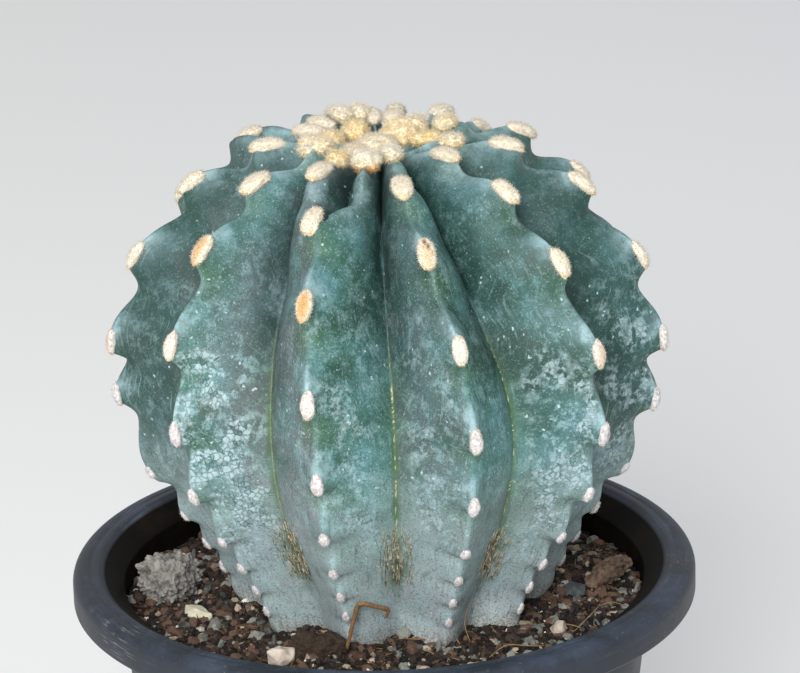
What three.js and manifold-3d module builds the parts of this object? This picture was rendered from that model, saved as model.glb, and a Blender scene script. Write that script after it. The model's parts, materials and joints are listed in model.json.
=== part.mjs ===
// Potted blue barrel cactus: a ribbed, spineless stem in a round plastic nursery pot.
// Millimetres, +Z up. The origin is the centre of the pot's foot, on the surface it stands on.
// Azimuths are in degrees round the vertical: 0 is the front (-Y) and 90 is the right (+X).

import * as THREE from 'three';
import { mergeVertices } from 'three/addons/utils/BufferGeometryUtils.js';
import Module from 'manifold-3d';

const wasm = await Module();
wasm.setup();

// Driving dimensions of the pot
const POT_HEIGHT = 120;
const RIM_RADIUS = 75;
const LIP_INNER_RADIUS = 68;
const LIP_ROLL = 3.2;
const LIP_THICKNESS = 2.1;
const BEVEL_DROP = 4.6;
const SKIRT_DROP = 8.7;
const SKIRT_THICKNESS = 1.6;
const NECK_RADIUS = 64;
const NECK_DROP = 10;
const BASE_RADIUS = 51;
const WALL = 1.4;
const FOOT_WIDTH = 5.5;
const FOOT_HEIGHT = 2;
const FLOOR_THICKNESS = 1.6;
const SMALL_EDGE = 0.8;
const DRAIN_HOLE_RADIUS = 4.5;
const DRAIN_HOLE_SIDES = 10;
const DRAIN_CUT_LENGTH = 12;
const DRAIN_CIRCLE_RADIUS = 33;
const DRAIN_HOLES = 6;
const POT_SIDES = 40;

// Driving dimensions of the soil
const SOIL_DROP_AT_STEM = 8.4;
const SOIL_DROP_AT_WALL = 10.6;
const SOIL_DROP_ZONE = [34, 58];
const SOIL_WAVE = { height: 0.7, length: 35, shift: 1 };
const SOIL_RIPPLE = { height: 0.4, length: 16 };
const SOIL_RINGS = [28, 34, 40, 46, 52, 57, 60.5];
const SOIL_MOUND = { x: -17, y: -38, height: 3, spread: 9 };
const GRIT_COUNT = 60;
const GRIT_RADIUS = [1.8, 4.2];
const GRIT_PROPORTIONS = [2, 1.6, 1.5];
const GRIT_ROUGHNESS = 0.25;
const GRIT_LIFT = 0.2;
const GRIT_ZONE = [34, 60];

// The gap between the soil and everything that stands in it, and under the wool
const CLEARANCE = 0.4;

// Driving dimensions of the stem. Both lines run from the sunken crown to the tip of the root, as
// [radius from the stem's axis, height above the rim], and each crest point faces a groove point.
const STEM_OFFSET_X = 2.2;
const CREST_LINE = [
  [0, 99.5], [8, 102.4], [20, 104.8], [34, 102.3], [47, 94.6], [56.5, 83.5], [63.2, 70.5], [65.6, 56.5],
  [64.2, 43], [60.2, 30], [53.4, 19], [46.4, 8.5], [40.5, -2], [36.5, -13], [31, -24], [20, -34], [0, -41],
];
const GROOVE_LINE = [
  [0, 99.5], [7, 97.5], [15, 94], [23.5, 89], [31.5, 82.8], [38.5, 74.6], [44.8, 65], [49, 55],
  [50.6, 44.5], [49.2, 33.5], [45.4, 22.5], [39.8, 11], [34.6, 0], [30.4, -12], [27.5, -23], [19.5, -33.5],
  [0, -41],
];
// Where a rib's areoles sit: distances along its crest from the middle of the crown
const AREOLE_PATH = [3, 17, 35.4, 55.8, 79.1, 100.3, 117.4, 134, 144.4, 152.7, 159.5, 166, 172, 188, 203];
// How deep the crest is notched below each of those areoles
const NOTCH_DEPTH = [0.4, 1.8, 4.2, 4.5, 4.2, 3.9, 3.5, 2.4, 1.6, 1.2, 0.9, 0.5, 0, 0, 0];
const LAST_AREOLE = 11;
// The crest drops steeply below an areole and rises slowly to the next one. The bump between two notches
// is narrower with more pinch, and leans down over the notch by a share of its depth.
const NOTCH_SKEW = 0.6;
const NOTCH_SHARPNESS = 3.4;
const BUMP_PINCH = { crown: 1.2, side: 5 };
const OVERHANG = 0.35;
const FLANK_SWELL = 0.05;
// A crest sways from side to side as it runs down, by so many degrees in waves so many mm long
const SWAY = { angle: 0.4, length: 82, shift: 2.4 };
// The sharp, full and worn outlines that a rib is mixed from
const CREST_ROUNDING = 0.06;
const FULL_POWER = 4;
const FULLNESS = 0.66;
const MOST_WORN = 0.8;

// One rib each: its azimuth at the widest height, its azimuth in the crown, how far its areoles sit
// from the common path (in areole steps), the spread of its two crests where it forks in the crown, and
// how much higher than the others its sixth areole sits
const RIBS = [
  { azimuth: -15.2, crown: -21, phase: -0.5, fork: 22 },
  { azimuth: 18, crown: 7, phase: -0.04, fork: 0 },
  { azimuth: 49.5, crown: 43, phase: 0.33, fork: 0 },
  { azimuth: 83, crown: 81, phase: -0.25, fork: 0, early: 0.18 },
  { azimuth: 115.5, crown: 118, phase: 0.2, fork: 0 },
  { azimuth: 148, crown: 149, phase: -0.3, fork: 0 },
  { azimuth: 180, crown: 179, phase: 0.3, fork: 16 },
  { azimuth: 212.5, crown: 204, phase: 0, fork: 14 },
  { azimuth: 245, crown: 237, phase: 0.35, fork: 20 },
  { azimuth: 278, crown: 274, phase: -0.38, fork: 0, early: 0.38 },
  { azimuth: 311.5, crown: 306, phase: 0.15, fork: 0 },
];
// Distances along the crest over which a rib turns from its place in the crown to the one at its widest,
// forks, gets sharp, loses the swell of its flanks, and wears down to a wave
const TURN_ZONE = [16, 110];
const FORK_ZONE = [34, 43];
const CROWN_ZONE = [28, 80];
const SWELL_ZONE = [60, 110];
const WORN_ZONE = [126, 162];
// The saddle between a fork's two crests, and the narrowest fork that it is worked out for
const FORK_SADDLE = 0.97;
const NARROWEST_FORK = 0.15;

// Columns of one flank between the crest and the groove, as shares of its width
const PLAIN_FLANK = [0.1, 0.46, 0.8];
const FORKED_FLANK = [0.16, 0.48, 0.8];
// Rows between two areoles, as shares of the step between them
const FIRST_ROWS = [0.5, 0.8];
const UPPER_ROWS = [0, 0.1, 0.32, 0.62];
const LOWER_ROWS = [0, 0.35];
const LAST_UPPER_STEP = 8;
const ROOT_ROWS = [12, 13, 14];

// Driving dimensions of the areole pads: width, length and thickness in the crown and at the soil
const PAD_IN_CROWN = [4.8, 8.6, 3];
const PAD_AT_SOIL = [2.3, 4.2, 1.6];
const PAD_ZONE = [30, 125];
const PAD_SEAT_GROWTH = 2.6;
// How far above the tip of its bump a pad sits, in areole steps
const PAD_CLIMB = 0.1;
const LOWEST_PAD = -6.4;
const WOOL_REACH = 22;

// The crown's woolly tufts: azimuth, distance from the stem's axis, and radius
const TUFTS = [
  { azimuth: 0, distance: 0, radius: 6.4 },
  { azimuth: -28, distance: 10, radius: 4.8 },
  { azimuth: 12, distance: 9, radius: 4.4 },
  { azimuth: -95, distance: 10, radius: 4.8 },
  { azimuth: -82, distance: 15, radius: 4.2 },
  { azimuth: -135, distance: 9.5, radius: 5 },
  { azimuth: 135, distance: 8.5, radius: 6 },
  { azimuth: 92, distance: 10, radius: 5 },
  { azimuth: 88, distance: 14.5, radius: 3.6 },
];
const TUFT_FLATNESS = 0.75;
const TUFT_LIFT = 0.8;
const TUFT_ROUGHNESS = 0.12;
const CROWN_HOLLOW_RADIUS = 8;
const CROWN_COVER = { arcs: [4, 9, 14, 19, 24, 29, 34], depth: 8, sides: 20 };

// Loose pieces on the soil: the middle as [x, y, height above the rim], the size, the turn round the
// vertical, the tilt, how rough the faces are, how often they are split, and the colour
const LOOSE_PIECES = [
  {
    name: 'pumice_stone', centre: [-52, 1, -5.4], size: [16, 13, 13], turn: 15, tilt: 0,
    rough: 0.1, detail: 1, color: 0x77706a,
  },
  {
    name: 'flint_stone', centre: [-44.5, -14.5, -8.4], size: [8.4, 5.4, 4.6], turn: -28, tilt: 10,
    rough: 0.16, detail: 0, color: 0xb3ac94,
  },
  {
    name: 'wedge_stone', centre: [-24, -43.5, -7.2], size: [7.8, 6.6, 6.6], turn: 20, tilt: 0,
    rough: 0.2, detail: 0, color: 0xc2b9a8,
  },
  {
    name: 'bark_chip', centre: [54.4, 2.5, -7.2], size: [14, 7, 4.4], turn: 38, tilt: -14,
    rough: 0.12, detail: 1, color: 0x5c4636,
  },
  {
    name: 'dark_pebble', centre: [45.4, -6, -8.6], size: [7, 6, 5], turn: 10, tilt: 0,
    rough: 0.08, detail: 0, color: 0x3f4340,
  },
  {
    name: 'pale_pebble', centre: [40.9, -29, -8.2], size: [5.2, 4.2, 4.8], turn: 50, tilt: 0,
    rough: 0.14, detail: 0, color: 0xb8aaa2,
  },
];

// A dry, kinked twig that leans on the stem's foot, as [x, y, height above the rim]
const TWIG_ROUTE = [
  [-9, -40.8, -7], [-6.2, -43, 4.6], [-4.6, -43.4, 5.4], [0.8, -40.2, 2.4], [0.2, -39.6, 0.2],
];
const TWIG_RADIUS = 0.8;
const TWIG_STEPS = 14;
const TWIG_CORNERS = 6;
const TWIG_TENSION = 0.2;

const DEGREE = Math.PI / 180;

// A repeatable stream of random numbers between 0 and 1
function randomStream(seed) {
  let state = seed;
  return () => {
    state = (state + 0x6d2b79f5) | 0;
    let mixed = Math.imul(state ^ (state >>> 15), 1 | state);
    mixed = (mixed + Math.imul(mixed ^ (mixed >>> 7), 61 | mixed)) ^ mixed;
    return ((mixed ^ (mixed >>> 14)) >>> 0) / 4294967296;
  };
}

function lerp(from, to, share) {
  return from + (to - from) * share;
}

function smoothStep([from, to], value) {
  const share = Math.min(1, Math.max(0, (value - from) / (to - from)));
  return share * share * (3 - 2 * share);
}

// Reads a list of values at a place between two of its entries
function readBetween(values, place) {
  const held = Math.min(values.length - 1.001, Math.max(0, place));
  const lower = Math.floor(held);
  return lerp(values[lower], values[lower + 1], held - lower);
}

function polar(radius, azimuth, height) {
  const turn = azimuth * DEGREE;
  return new THREE.Vector3(radius * Math.sin(turn), -radius * Math.cos(turn), height);
}

// The shared corners of a geometry, with only their positions
function bareCorners(geometry) {
  const bare = geometry.clone();
  bare.deleteAttribute('normal');
  bare.deleteAttribute('uv');
  return mergeVertices(bare, 1e-4);
}

// A closed geometry as a solid, with its faces turned outwards
function toSolid(geometry) {
  const merged = bareCorners(geometry);
  const vertProperties = new Float32Array(merged.attributes.position.array);
  const triVerts = new Uint32Array(merged.index.array);
  const corner = (i) => new THREE.Vector3().fromArray(vertProperties, 3 * triVerts[i]);
  let volume = 0;
  for (let i = 0; i < triVerts.length; i += 3) {
    volume += corner(i).dot(corner(i + 1).cross(corner(i + 2)));
  }
  if (volume < 0) {
    for (let i = 0; i < triVerts.length; i += 3) {
      [triVerts[i], triVerts[i + 1]] = [triVerts[i + 1], triVerts[i]];
    }
  }
  return new wasm.Manifold(new wasm.Mesh({ numProp: 3, vertProperties, triVerts }));
}

// A solid as a geometry, without the loose scraps that a cut can leave
function toGeometry(solid) {
  const bodies = solid.decompose();
  const body = bodies.reduce((best, next) => (next.volume() > best.volume() ? next : best));
  const mesh = body.getMesh();
  const geometry = new THREE.BufferGeometry();
  geometry.setAttribute('position', new THREE.BufferAttribute(new Float32Array(mesh.vertProperties), 3));
  geometry.setIndex(new THREE.BufferAttribute(new Uint32Array(mesh.triVerts), 1));
  geometry.computeVertexNormals();
  return geometry;
}

function join(solids) {
  return solids.reduce((whole, next) => whole.add(next));
}

// Revolves a closed profile of [radius, height] points round the vertical
function revolve(profile, sides) {
  const points = profile.map(([radius, height]) => new THREE.Vector2(radius, height));
  return new THREE.LatheGeometry(points, sides).rotateX(Math.PI / 2);
}

// A closed skin over rings of points, with one point at each end
function skinOver(top, rings, bottom) {
  const columns = rings[0].length;
  const points = [top, ...rings.flat(), bottom];
  const last = points.length - 1;
  const lowest = rings.length - 1;
  const at = (ring, column) => 1 + ring * columns + (column % columns);
  const index = [];
  for (let column = 0; column < columns; column += 1) {
    index.push(0, at(0, column), at(0, column + 1));
    for (let ring = 0; ring < lowest; ring += 1) {
      index.push(at(ring, column), at(ring + 1, column), at(ring + 1, column + 1));
      index.push(at(ring, column), at(ring + 1, column + 1), at(ring, column + 1));
    }
    index.push(last, at(lowest, column + 1), at(lowest, column));
  }
  return new THREE.BufferGeometry().setFromPoints(points).setIndex(index);
}

// Pushes a geometry's corners in and out at random, as shares of their distance from the middle
function roughen(geometry, rough, random) {
  const bare = bareCorners(geometry);
  const position = bare.attributes.position;
  const point = new THREE.Vector3();
  for (let i = 0; i < position.count; i += 1) {
    point.fromBufferAttribute(position, i).multiplyScalar(1 + rough * (2 * random() - 1));
    position.setXYZ(i, point.x, point.y, point.z);
  }
  return bare;
}

// Pot

function potProfile() {
  const top = POT_HEIGHT;
  const neck = top - NECK_DROP;
  const skirt = top - SKIRT_DROP;
  const skirtInner = RIM_RADIUS - SKIRT_THICKNESS;
  const floor = FOOT_HEIGHT + FLOOR_THICKNESS;
  const floorRadius = lerp(BASE_RADIUS, NECK_RADIUS, floor / neck) - WALL;
  const roll = [90, 67.5, 45, 22.5, 0].map((turn) => [
    RIM_RADIUS - LIP_ROLL * (1 - Math.cos(turn * DEGREE)),
    top - LIP_ROLL * (1 - Math.sin(turn * DEGREE)),
  ]);
  return [
    [0, floor],
    [floorRadius, floor],
    [NECK_RADIUS - WALL, neck],
    [NECK_RADIUS - WALL, top - BEVEL_DROP],
    [LIP_INNER_RADIUS - LIP_THICKNESS, top - LIP_THICKNESS],
    [LIP_INNER_RADIUS, top - SMALL_EDGE],
    [LIP_INNER_RADIUS + SMALL_EDGE, top],
    ...roll,
    [RIM_RADIUS, skirt + SMALL_EDGE],
    [RIM_RADIUS - SMALL_EDGE, skirt],
    [skirtInner, skirt],
    [skirtInner, top - LIP_ROLL],
    [skirtInner - SKIRT_THICKNESS, top - LIP_THICKNESS],
    [LIP_INNER_RADIUS + SMALL_EDGE, top - LIP_THICKNESS],
    [NECK_RADIUS + SKIRT_THICKNESS, top - 2 * LIP_THICKNESS],
    [NECK_RADIUS, top - BEVEL_DROP - LIP_THICKNESS],
    [NECK_RADIUS, neck],
    [BASE_RADIUS, SMALL_EDGE],
    [BASE_RADIUS - SMALL_EDGE, 0],
    [BASE_RADIUS - FOOT_WIDTH, 0],
    [BASE_RADIUS - FOOT_WIDTH - SMALL_EDGE, FOOT_HEIGHT],
    [0, FOOT_HEIGHT],
  ];
}

function drainHole(azimuth, distance) {
  const radius = DRAIN_HOLE_RADIUS;
  const hole = new THREE.CylinderGeometry(radius, radius, DRAIN_CUT_LENGTH, DRAIN_HOLE_SIDES);
  hole.rotateX(Math.PI / 2);
  const centre = polar(distance, azimuth, FOOT_HEIGHT);
  return toSolid(hole.translate(centre.x, centre.y, centre.z));
}

function makePot() {
  const holes = [drainHole(0, 0)];
  for (let i = 0; i < DRAIN_HOLES; i += 1) {
    holes.push(drainHole((i + 0.5) * (360 / DRAIN_HOLES), DRAIN_CIRCLE_RADIUS));
  }
  return toSolid(revolve(potProfile(), POT_SIDES)).subtract(join(holes));
}

// Stem

function toCurve(line) {
  const curve = new THREE.SplineCurve(line.map((point) => new THREE.Vector2(...point)));
  curve.arcLengthDivisions = 50 * line.length;
  return curve;
}

const crestCurve = toCurve(CREST_LINE);
const grooveCurve = toCurve(GROOVE_LINE);
const CREST_LENGTH = crestCurve.getLength();
const EARLY_AREOLE = 6;
const CROWN_HEIGHT = CREST_LINE[0][1];
const ROOT_HEIGHT = CREST_LINE[CREST_LINE.length - 1][1];

// The rib beside another one, with its azimuths counted on without a jump
function neighbourOf(rib, side) {
  const here = RIBS[rib];
  const next = RIBS[(rib + side + RIBS.length) % RIBS.length];
  const turn = side * (next.azimuth - here.azimuth) < 0 ? side * 360 : 0;
  return { ...next, azimuth: next.azimuth + turn, crown: next.crown + turn };
}

function crestAzimuth(rib, arc) {
  const here = RIBS[rib];
  const sway = SWAY.angle * Math.sin((2 * Math.PI * arc) / SWAY.length + rib * SWAY.shift);
  return lerp(here.crown, here.azimuth, smoothStep(TURN_ZONE, arc)) + sway;
}

function grooveAzimuth(rib, side, arc) {
  const here = RIBS[rib];
  const next = neighbourOf(rib, side);
  const widest = (here.azimuth + next.azimuth) / 2;
  const crown = (here.crown + next.crown + side * (here.fork - next.fork) / 2) / 2;
  return lerp(crown, widest, smoothStep(TURN_ZONE, arc));
}

// How far a row follows its own rib's areoles: all ribs agree in the crown's middle and at the root
function phaseShare(step) {
  return smoothStep([0, 1], step) * (1 - smoothStep([LAST_AREOLE, LAST_AREOLE + 1], step));
}

// How much of the notch is reached between two areoles: a steep drop below one, a slow rise to the next
function notchShape(step) {
  return Math.sin(Math.PI * (step - Math.floor(step)) ** NOTCH_SKEW) ** NOTCH_SHARPNESS;
}

// The height of a flank above the groove, from 1 on the crest to 0 in the groove. The ribs are full in
// the crown, with narrow grooves, straight at the widest height, and worn down to waves near the soil.
function flankHeight(share, arc, swell) {
  const blunted = (reach) => Math.hypot(reach, CREST_ROUNDING) - CREST_ROUNDING;
  const sharp = 1 - blunted(share) / blunted(1);
  const full = lerp(sharp, 1 - Math.abs(share) ** FULL_POWER, FULLNESS);
  const wave = 0.5 + 0.5 * Math.cos(Math.PI * share);
  const fullShare = 1 - smoothStep(CROWN_ZONE, arc);
  const waveShare = MOST_WORN * smoothStep(WORN_ZONE, arc);
  return lerp(lerp(sharp, full, fullShare), wave, waveShare) + swell * Math.sin(Math.PI * share);
}

// The share of a flank that lies between a forked rib's middle and its crest on that side
function forkShare(rib, side, arc) {
  const spread = (RIBS[rib].fork / 2) * (1 - smoothStep(FORK_ZONE, arc));
  return spread / Math.abs(grooveAzimuth(rib, side, arc) - crestAzimuth(rib, arc));
}

// How far a rib's areoles sit from the common path at a step
function phaseAt(rib, step) {
  const { phase, early = 0 } = RIBS[rib];
  return phase * phaseShare(step) - early * Math.max(0, 1 - Math.abs(step - EARLY_AREOLE));
}

function arcAt(rib, step) {
  return readBetween(AREOLE_PATH, step + phaseAt(rib, step));
}

// A point of the stem's skin. The step counts areoles down the rib, the side is -1 or 1, and the share
// runs from 0 in the rib's middle to 1 in the groove. Grow swells the skin outwards.
function stemPoint(rib, side, share, step, grow = 0) {
  const next = (rib + side + RIBS.length) % RIBS.length;
  const middlePhase = (phaseAt(rib, step) + phaseAt(next, step)) / 2;
  const phase = lerp(phaseAt(rib, step), middlePhase, share);
  const arc = readBetween(AREOLE_PATH, step + phase);
  const along = crestCurve.getUtoTmapping(arc / CREST_LENGTH);
  const slope = crestCurve.getTangent(along);
  const outwards = new THREE.Vector2(-slope.y, slope.x);

  const forked = forkShare(rib, side, arc);
  const outerShare = (share - forked) / (1 - forked);
  const saddleShare = (FORK_SADDLE * (forked - share)) / Math.max(forked, NARROWEST_FORK);
  const fromCrest = share >= forked ? outerShare : saddleShare;
  const notch = notchShape(step);
  const pinch = lerp(BUMP_PINCH.crown, BUMP_PINCH.side, smoothStep(CROWN_ZONE, arc));
  const depth = readBetween(NOTCH_DEPTH, step + phase);
  const bump = (1 - notch) * Math.max(0, 1 - fromCrest) ** pinch;
  const swell = FLANK_SWELL * Math.cos(2 * Math.PI * step) * (1 - smoothStep(SWELL_ZONE, arc));

  const height = flankHeight(fromCrest, arc, swell);
  const point = grooveCurve.getPoint(along).lerp(crestCurve.getPoint(along), height);
  point.addScaledVector(outwards, grow - depth * (height - bump));
  point.addScaledVector(slope, OVERHANG * depth * bump);
  const azimuth = lerp(crestAzimuth(rib, arc), grooveAzimuth(rib, side, arc), share);
  const skin = polar(point.x, azimuth, POT_HEIGHT + point.y);
  skin.x += STEM_OFFSET_X;
  return skin;
}

function stemColumns() {
  return RIBS.flatMap(({ fork }, rib) => {
    const flank = fork > 0 ? FORKED_FLANK : PLAIN_FLANK;
    const left = [1, ...flank.slice().reverse()].map((share) => ({ rib, side: -1, share }));
    const right = [0, ...flank].map((share) => ({ rib, side: 1, share }));
    return [...left, ...right];
  });
}

function stemRows() {
  const rows = [...FIRST_ROWS];
  for (let step = 1; step <= LAST_AREOLE; step += 1) {
    const shares = step < LAST_UPPER_STEP ? UPPER_ROWS : LOWER_ROWS;
    rows.push(...shares.map((share) => step + share));
  }
  return [...rows, ...ROOT_ROWS];
}

function stemSkin(grow) {
  const columns = stemColumns();
  const ring = (row) => columns.map(({ rib, side, share }) => stemPoint(rib, side, share, row, grow));
  const top = new THREE.Vector3(STEM_OFFSET_X, 0, POT_HEIGHT + CROWN_HEIGHT + grow);
  const bottom = new THREE.Vector3(STEM_OFFSET_X, 0, POT_HEIGHT + ROOT_HEIGHT - grow);
  return toSolid(skinOver(top, stemRows().map(ring), bottom));
}

// A felted pad lying on a crest, long along the rib
function areolePad(rib, side, step, grow) {
  const arc = arcAt(rib, step);
  const share = forkShare(rib, side, arc);
  const azimuth = lerp(crestAzimuth(rib, arc), grooveAzimuth(rib, side, arc), share);
  const slope = crestCurve.getTangentAt(arc / CREST_LENGTH);
  const along = polar(-slope.x, azimuth, -slope.y);
  const outwards = polar(-slope.y, azimuth, slope.x);
  const across = new THREE.Vector3().crossVectors(along, outwards);
  const worn = smoothStep(PAD_ZONE, arc);
  const size = PAD_IN_CROWN.map((inCrown, i) => lerp(inCrown, PAD_AT_SOIL[i], worn) + PAD_SEAT_GROWTH * grow);
  const pad = new THREE.IcosahedronGeometry(0.5, 0).scale(...size);
  const frame = new THREE.Matrix4().makeBasis(across, along, outwards);
  const seat = stemPoint(rib, side, share, step);
  return toSolid(pad.applyMatrix4(frame.setPosition(seat)));
}

function areolePads(grow) {
  const pads = [];
  RIBS.forEach(({ fork }, rib) => {
    for (let step = 1; step <= LAST_AREOLE; step += 1) {
      const arc = arcAt(rib, step);
      if (arc > WOOL_REACH && crestCurve.getPointAt(arc / CREST_LENGTH).y > LOWEST_PAD) {
        const sides = fork > 0 && arc < FORK_ZONE[0] ? [-1, 1] : [-1];
        pads.push(...sides.map((side) => areolePad(rib, side, step - PAD_CLIMB, grow)));
      }
    }
  });
  return join(pads);
}

function makeStem() {
  return stemSkin(0).add(areolePads(0));
}

// Crown wool: tufts that lie on the innermost crests

function crownCover() {
  const floor = POT_HEIGHT + CLEARANCE;
  const crests = CROWN_COVER.arcs.map((arc) => crestCurve.getPointAt(arc / CREST_LENGTH));
  const reach = crests[crests.length - 1].x;
  const below = floor + CROWN_HEIGHT - CROWN_COVER.depth;
  const profile = [[0, floor + CROWN_HEIGHT]];
  crests.forEach(({ x, y }) => profile.push([x, floor + y]));
  profile.push([reach, below], [0, below]);
  return toSolid(revolve(profile, CROWN_COVER.sides).translate(STEM_OFFSET_X, 0, 0));
}

function makeWool() {
  const random = randomStream(11);
  const tufts = TUFTS.map(({ azimuth, distance, radius }) => {
    const tuft = roughen(new THREE.IcosahedronGeometry(radius, 1), TUFT_ROUGHNESS, random);
    tuft.scale(1, 1, TUFT_FLATNESS);
    const crest = crestCurve.getPointAt(Math.max(distance, CROWN_HOLLOW_RADIUS) / CREST_LENGTH);
    const place = polar(distance, azimuth, POT_HEIGHT + crest.y + TUFT_LIFT);
    return toSolid(tuft.translate(place.x + STEM_OFFSET_X, place.y, place.z));
  });
  return join(tufts).subtract(crownCover());
}

// Loose pieces and soil

function loosePiece({ centre, size, turn, tilt, rough, detail }, seed, grow = 0) {
  const ball = roughen(new THREE.IcosahedronGeometry(0.5, detail), rough, randomStream(seed));
  ball.scale(size[0] + 2 * grow, size[1] + 2 * grow, size[2] + 2 * grow);
  ball.rotateY(tilt * DEGREE).rotateZ(turn * DEGREE);
  return toSolid(ball.translate(centre[0], centre[1], POT_HEIGHT + centre[2]));
}

function twig(radius, extraDepth) {
  const route = TWIG_ROUTE.map(([x, y, height]) => new THREE.Vector3(x, y, POT_HEIGHT + height));
  route[0].z -= extraDepth;
  const path = new THREE.CatmullRomCurve3(route, false, 'catmullrom', TWIG_TENSION);
  const corners = Array.from({ length: TWIG_CORNERS }, (_, corner) => {
    const turn = (2 * Math.PI * corner) / TWIG_CORNERS;
    return new THREE.Vector2(radius * Math.cos(turn), radius * Math.sin(turn));
  });
  const section = new THREE.Shape(corners);
  return toSolid(new THREE.ExtrudeGeometry(section, { steps: TWIG_STEPS, extrudePath: path }));
}

function soilHeight(x, y) {
  const turns = (distance, length) => (2 * Math.PI * distance) / length;
  const wave = Math.sin(turns(x, SOIL_WAVE.length) + SOIL_WAVE.shift) * Math.cos(turns(y, SOIL_WAVE.length));
  const ripple = Math.sin(turns(x + y, SOIL_RIPPLE.length));
  const relief = SOIL_WAVE.height * wave + SOIL_RIPPLE.height * ripple;
  const away = Math.hypot(x - SOIL_MOUND.x, y - SOIL_MOUND.y) / SOIL_MOUND.spread;
  const mound = SOIL_MOUND.height * Math.exp(-away * away);
  const atWall = smoothStep(SOIL_DROP_ZONE, Math.hypot(x, y));
  return POT_HEIGHT - lerp(SOIL_DROP_AT_STEM, SOIL_DROP_AT_WALL, atWall) + relief + mound;
}

function soilBody() {
  const neck = POT_HEIGHT - NECK_DROP;
  const floor = FOOT_HEIGHT + FLOOR_THICKNESS;
  const wallRadius = (height) => lerp(BASE_RADIUS, NECK_RADIUS, height / neck) - WALL - CLEARANCE;
  const azimuths = Array.from({ length: POT_SIDES }, (_, side) => (side / POT_SIDES) * 360);
  const ring = (radius, heightOf) => azimuths.map((azimuth) => {
    const point = polar(radius, azimuth, 0);
    point.z = heightOf(point.x, point.y);
    return point;
  });
  const shoulder = neck - SMALL_EDGE;
  const rings = SOIL_RINGS.map((radius) => ring(radius, soilHeight));
  rings.push(ring(wallRadius(shoulder), () => shoulder));
  rings.push(ring(wallRadius(floor), () => floor + CLEARANCE));
  const top = new THREE.Vector3(0, 0, POT_HEIGHT - SOIL_DROP_AT_STEM);
  const bottom = new THREE.Vector3(0, 0, floor + CLEARANCE);
  return toSolid(skinOver(top, rings, bottom));
}

function gritStones() {
  const random = randomStream(5);
  const stones = [];
  while (stones.length < GRIT_COUNT) {
    const radius = lerp(GRIT_RADIUS[0], GRIT_RADIUS[1], random() ** 2);
    const distance = lerp(GRIT_ZONE[0], GRIT_ZONE[1] - radius, Math.sqrt(random()));
    const place = polar(distance, 360 * random(), 0);
    const height = soilHeight(place.x, place.y) + GRIT_LIFT * radius;
    const stone = roughen(new THREE.OctahedronGeometry(0.5, 0), GRIT_ROUGHNESS, random);
    stone.scale(...GRIT_PROPORTIONS.map((share) => share * radius));
    stone.rotateX(Math.PI * random()).rotateZ(Math.PI * random());
    stones.push(toSolid(stone.translate(place.x, place.y, height)));
  }
  return stones;
}

function makeSoil() {
  const seats = LOOSE_PIECES.map((piece, i) => loosePiece(piece, i + 1, CLEARANCE));
  seats.push(twig(TWIG_RADIUS + CLEARANCE, CLEARANCE));
  const hole = stemSkin(CLEARANCE).add(areolePads(CLEARANCE));
  return soilBody().add(join(gritStones())).subtract(hole).subtract(join(seats));
}

// The scene

const group = new THREE.Group();

function addPiece(name, solid, color, roughness) {
  const material = new THREE.MeshStandardMaterial({ color, roughness, metalness: 0 });
  const mesh = new THREE.Mesh(toGeometry(solid), material);
  mesh.name = name;
  group.add(mesh);
}

addPiece('pot', makePot(), 0x2b2e35, 0.5);
addPiece('soil', makeSoil(), 0x3d2f27, 0.95);
addPiece('stem', makeStem(), 0x5f8f8a, 0.7);
addPiece('crown_wool', makeWool(), 0xe3c98f, 1);
addPiece('dry_twig', twig(TWIG_RADIUS, 0), 0xa9743e, 0.8);
LOOSE_PIECES.forEach((piece, i) => addPiece(piece.name, loosePiece(piece, i + 1), piece.color, 0.9));

export default group;
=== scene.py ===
# Potted blue barrel cactus: a ribbed, spineless stem in gritty soil in a round nursery pot.
# Lengths in the sections are real millimetres, and MM turns them into the frame's metres.
import json
import math
import random

import bmesh
import bpy
import numpy as np
from mathutils import Matrix, Vector, noise

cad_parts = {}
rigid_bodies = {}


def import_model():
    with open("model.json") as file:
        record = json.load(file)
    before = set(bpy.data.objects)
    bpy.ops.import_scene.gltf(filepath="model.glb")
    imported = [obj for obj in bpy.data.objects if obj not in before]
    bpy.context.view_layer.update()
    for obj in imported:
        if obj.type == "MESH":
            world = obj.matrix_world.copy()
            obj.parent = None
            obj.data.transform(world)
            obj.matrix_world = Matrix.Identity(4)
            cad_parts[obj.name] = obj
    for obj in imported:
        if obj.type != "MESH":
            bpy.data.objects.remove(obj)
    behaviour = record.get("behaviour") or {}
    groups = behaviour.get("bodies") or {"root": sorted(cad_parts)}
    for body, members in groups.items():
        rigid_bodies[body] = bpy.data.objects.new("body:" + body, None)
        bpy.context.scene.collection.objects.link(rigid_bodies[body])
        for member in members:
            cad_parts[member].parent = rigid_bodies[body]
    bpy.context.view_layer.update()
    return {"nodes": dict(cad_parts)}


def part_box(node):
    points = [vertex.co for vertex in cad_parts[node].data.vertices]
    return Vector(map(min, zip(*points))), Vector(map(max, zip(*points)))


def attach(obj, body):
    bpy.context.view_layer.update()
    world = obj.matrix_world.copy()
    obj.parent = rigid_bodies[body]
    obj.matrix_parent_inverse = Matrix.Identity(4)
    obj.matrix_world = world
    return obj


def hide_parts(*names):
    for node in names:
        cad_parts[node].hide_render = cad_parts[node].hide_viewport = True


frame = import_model()

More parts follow.
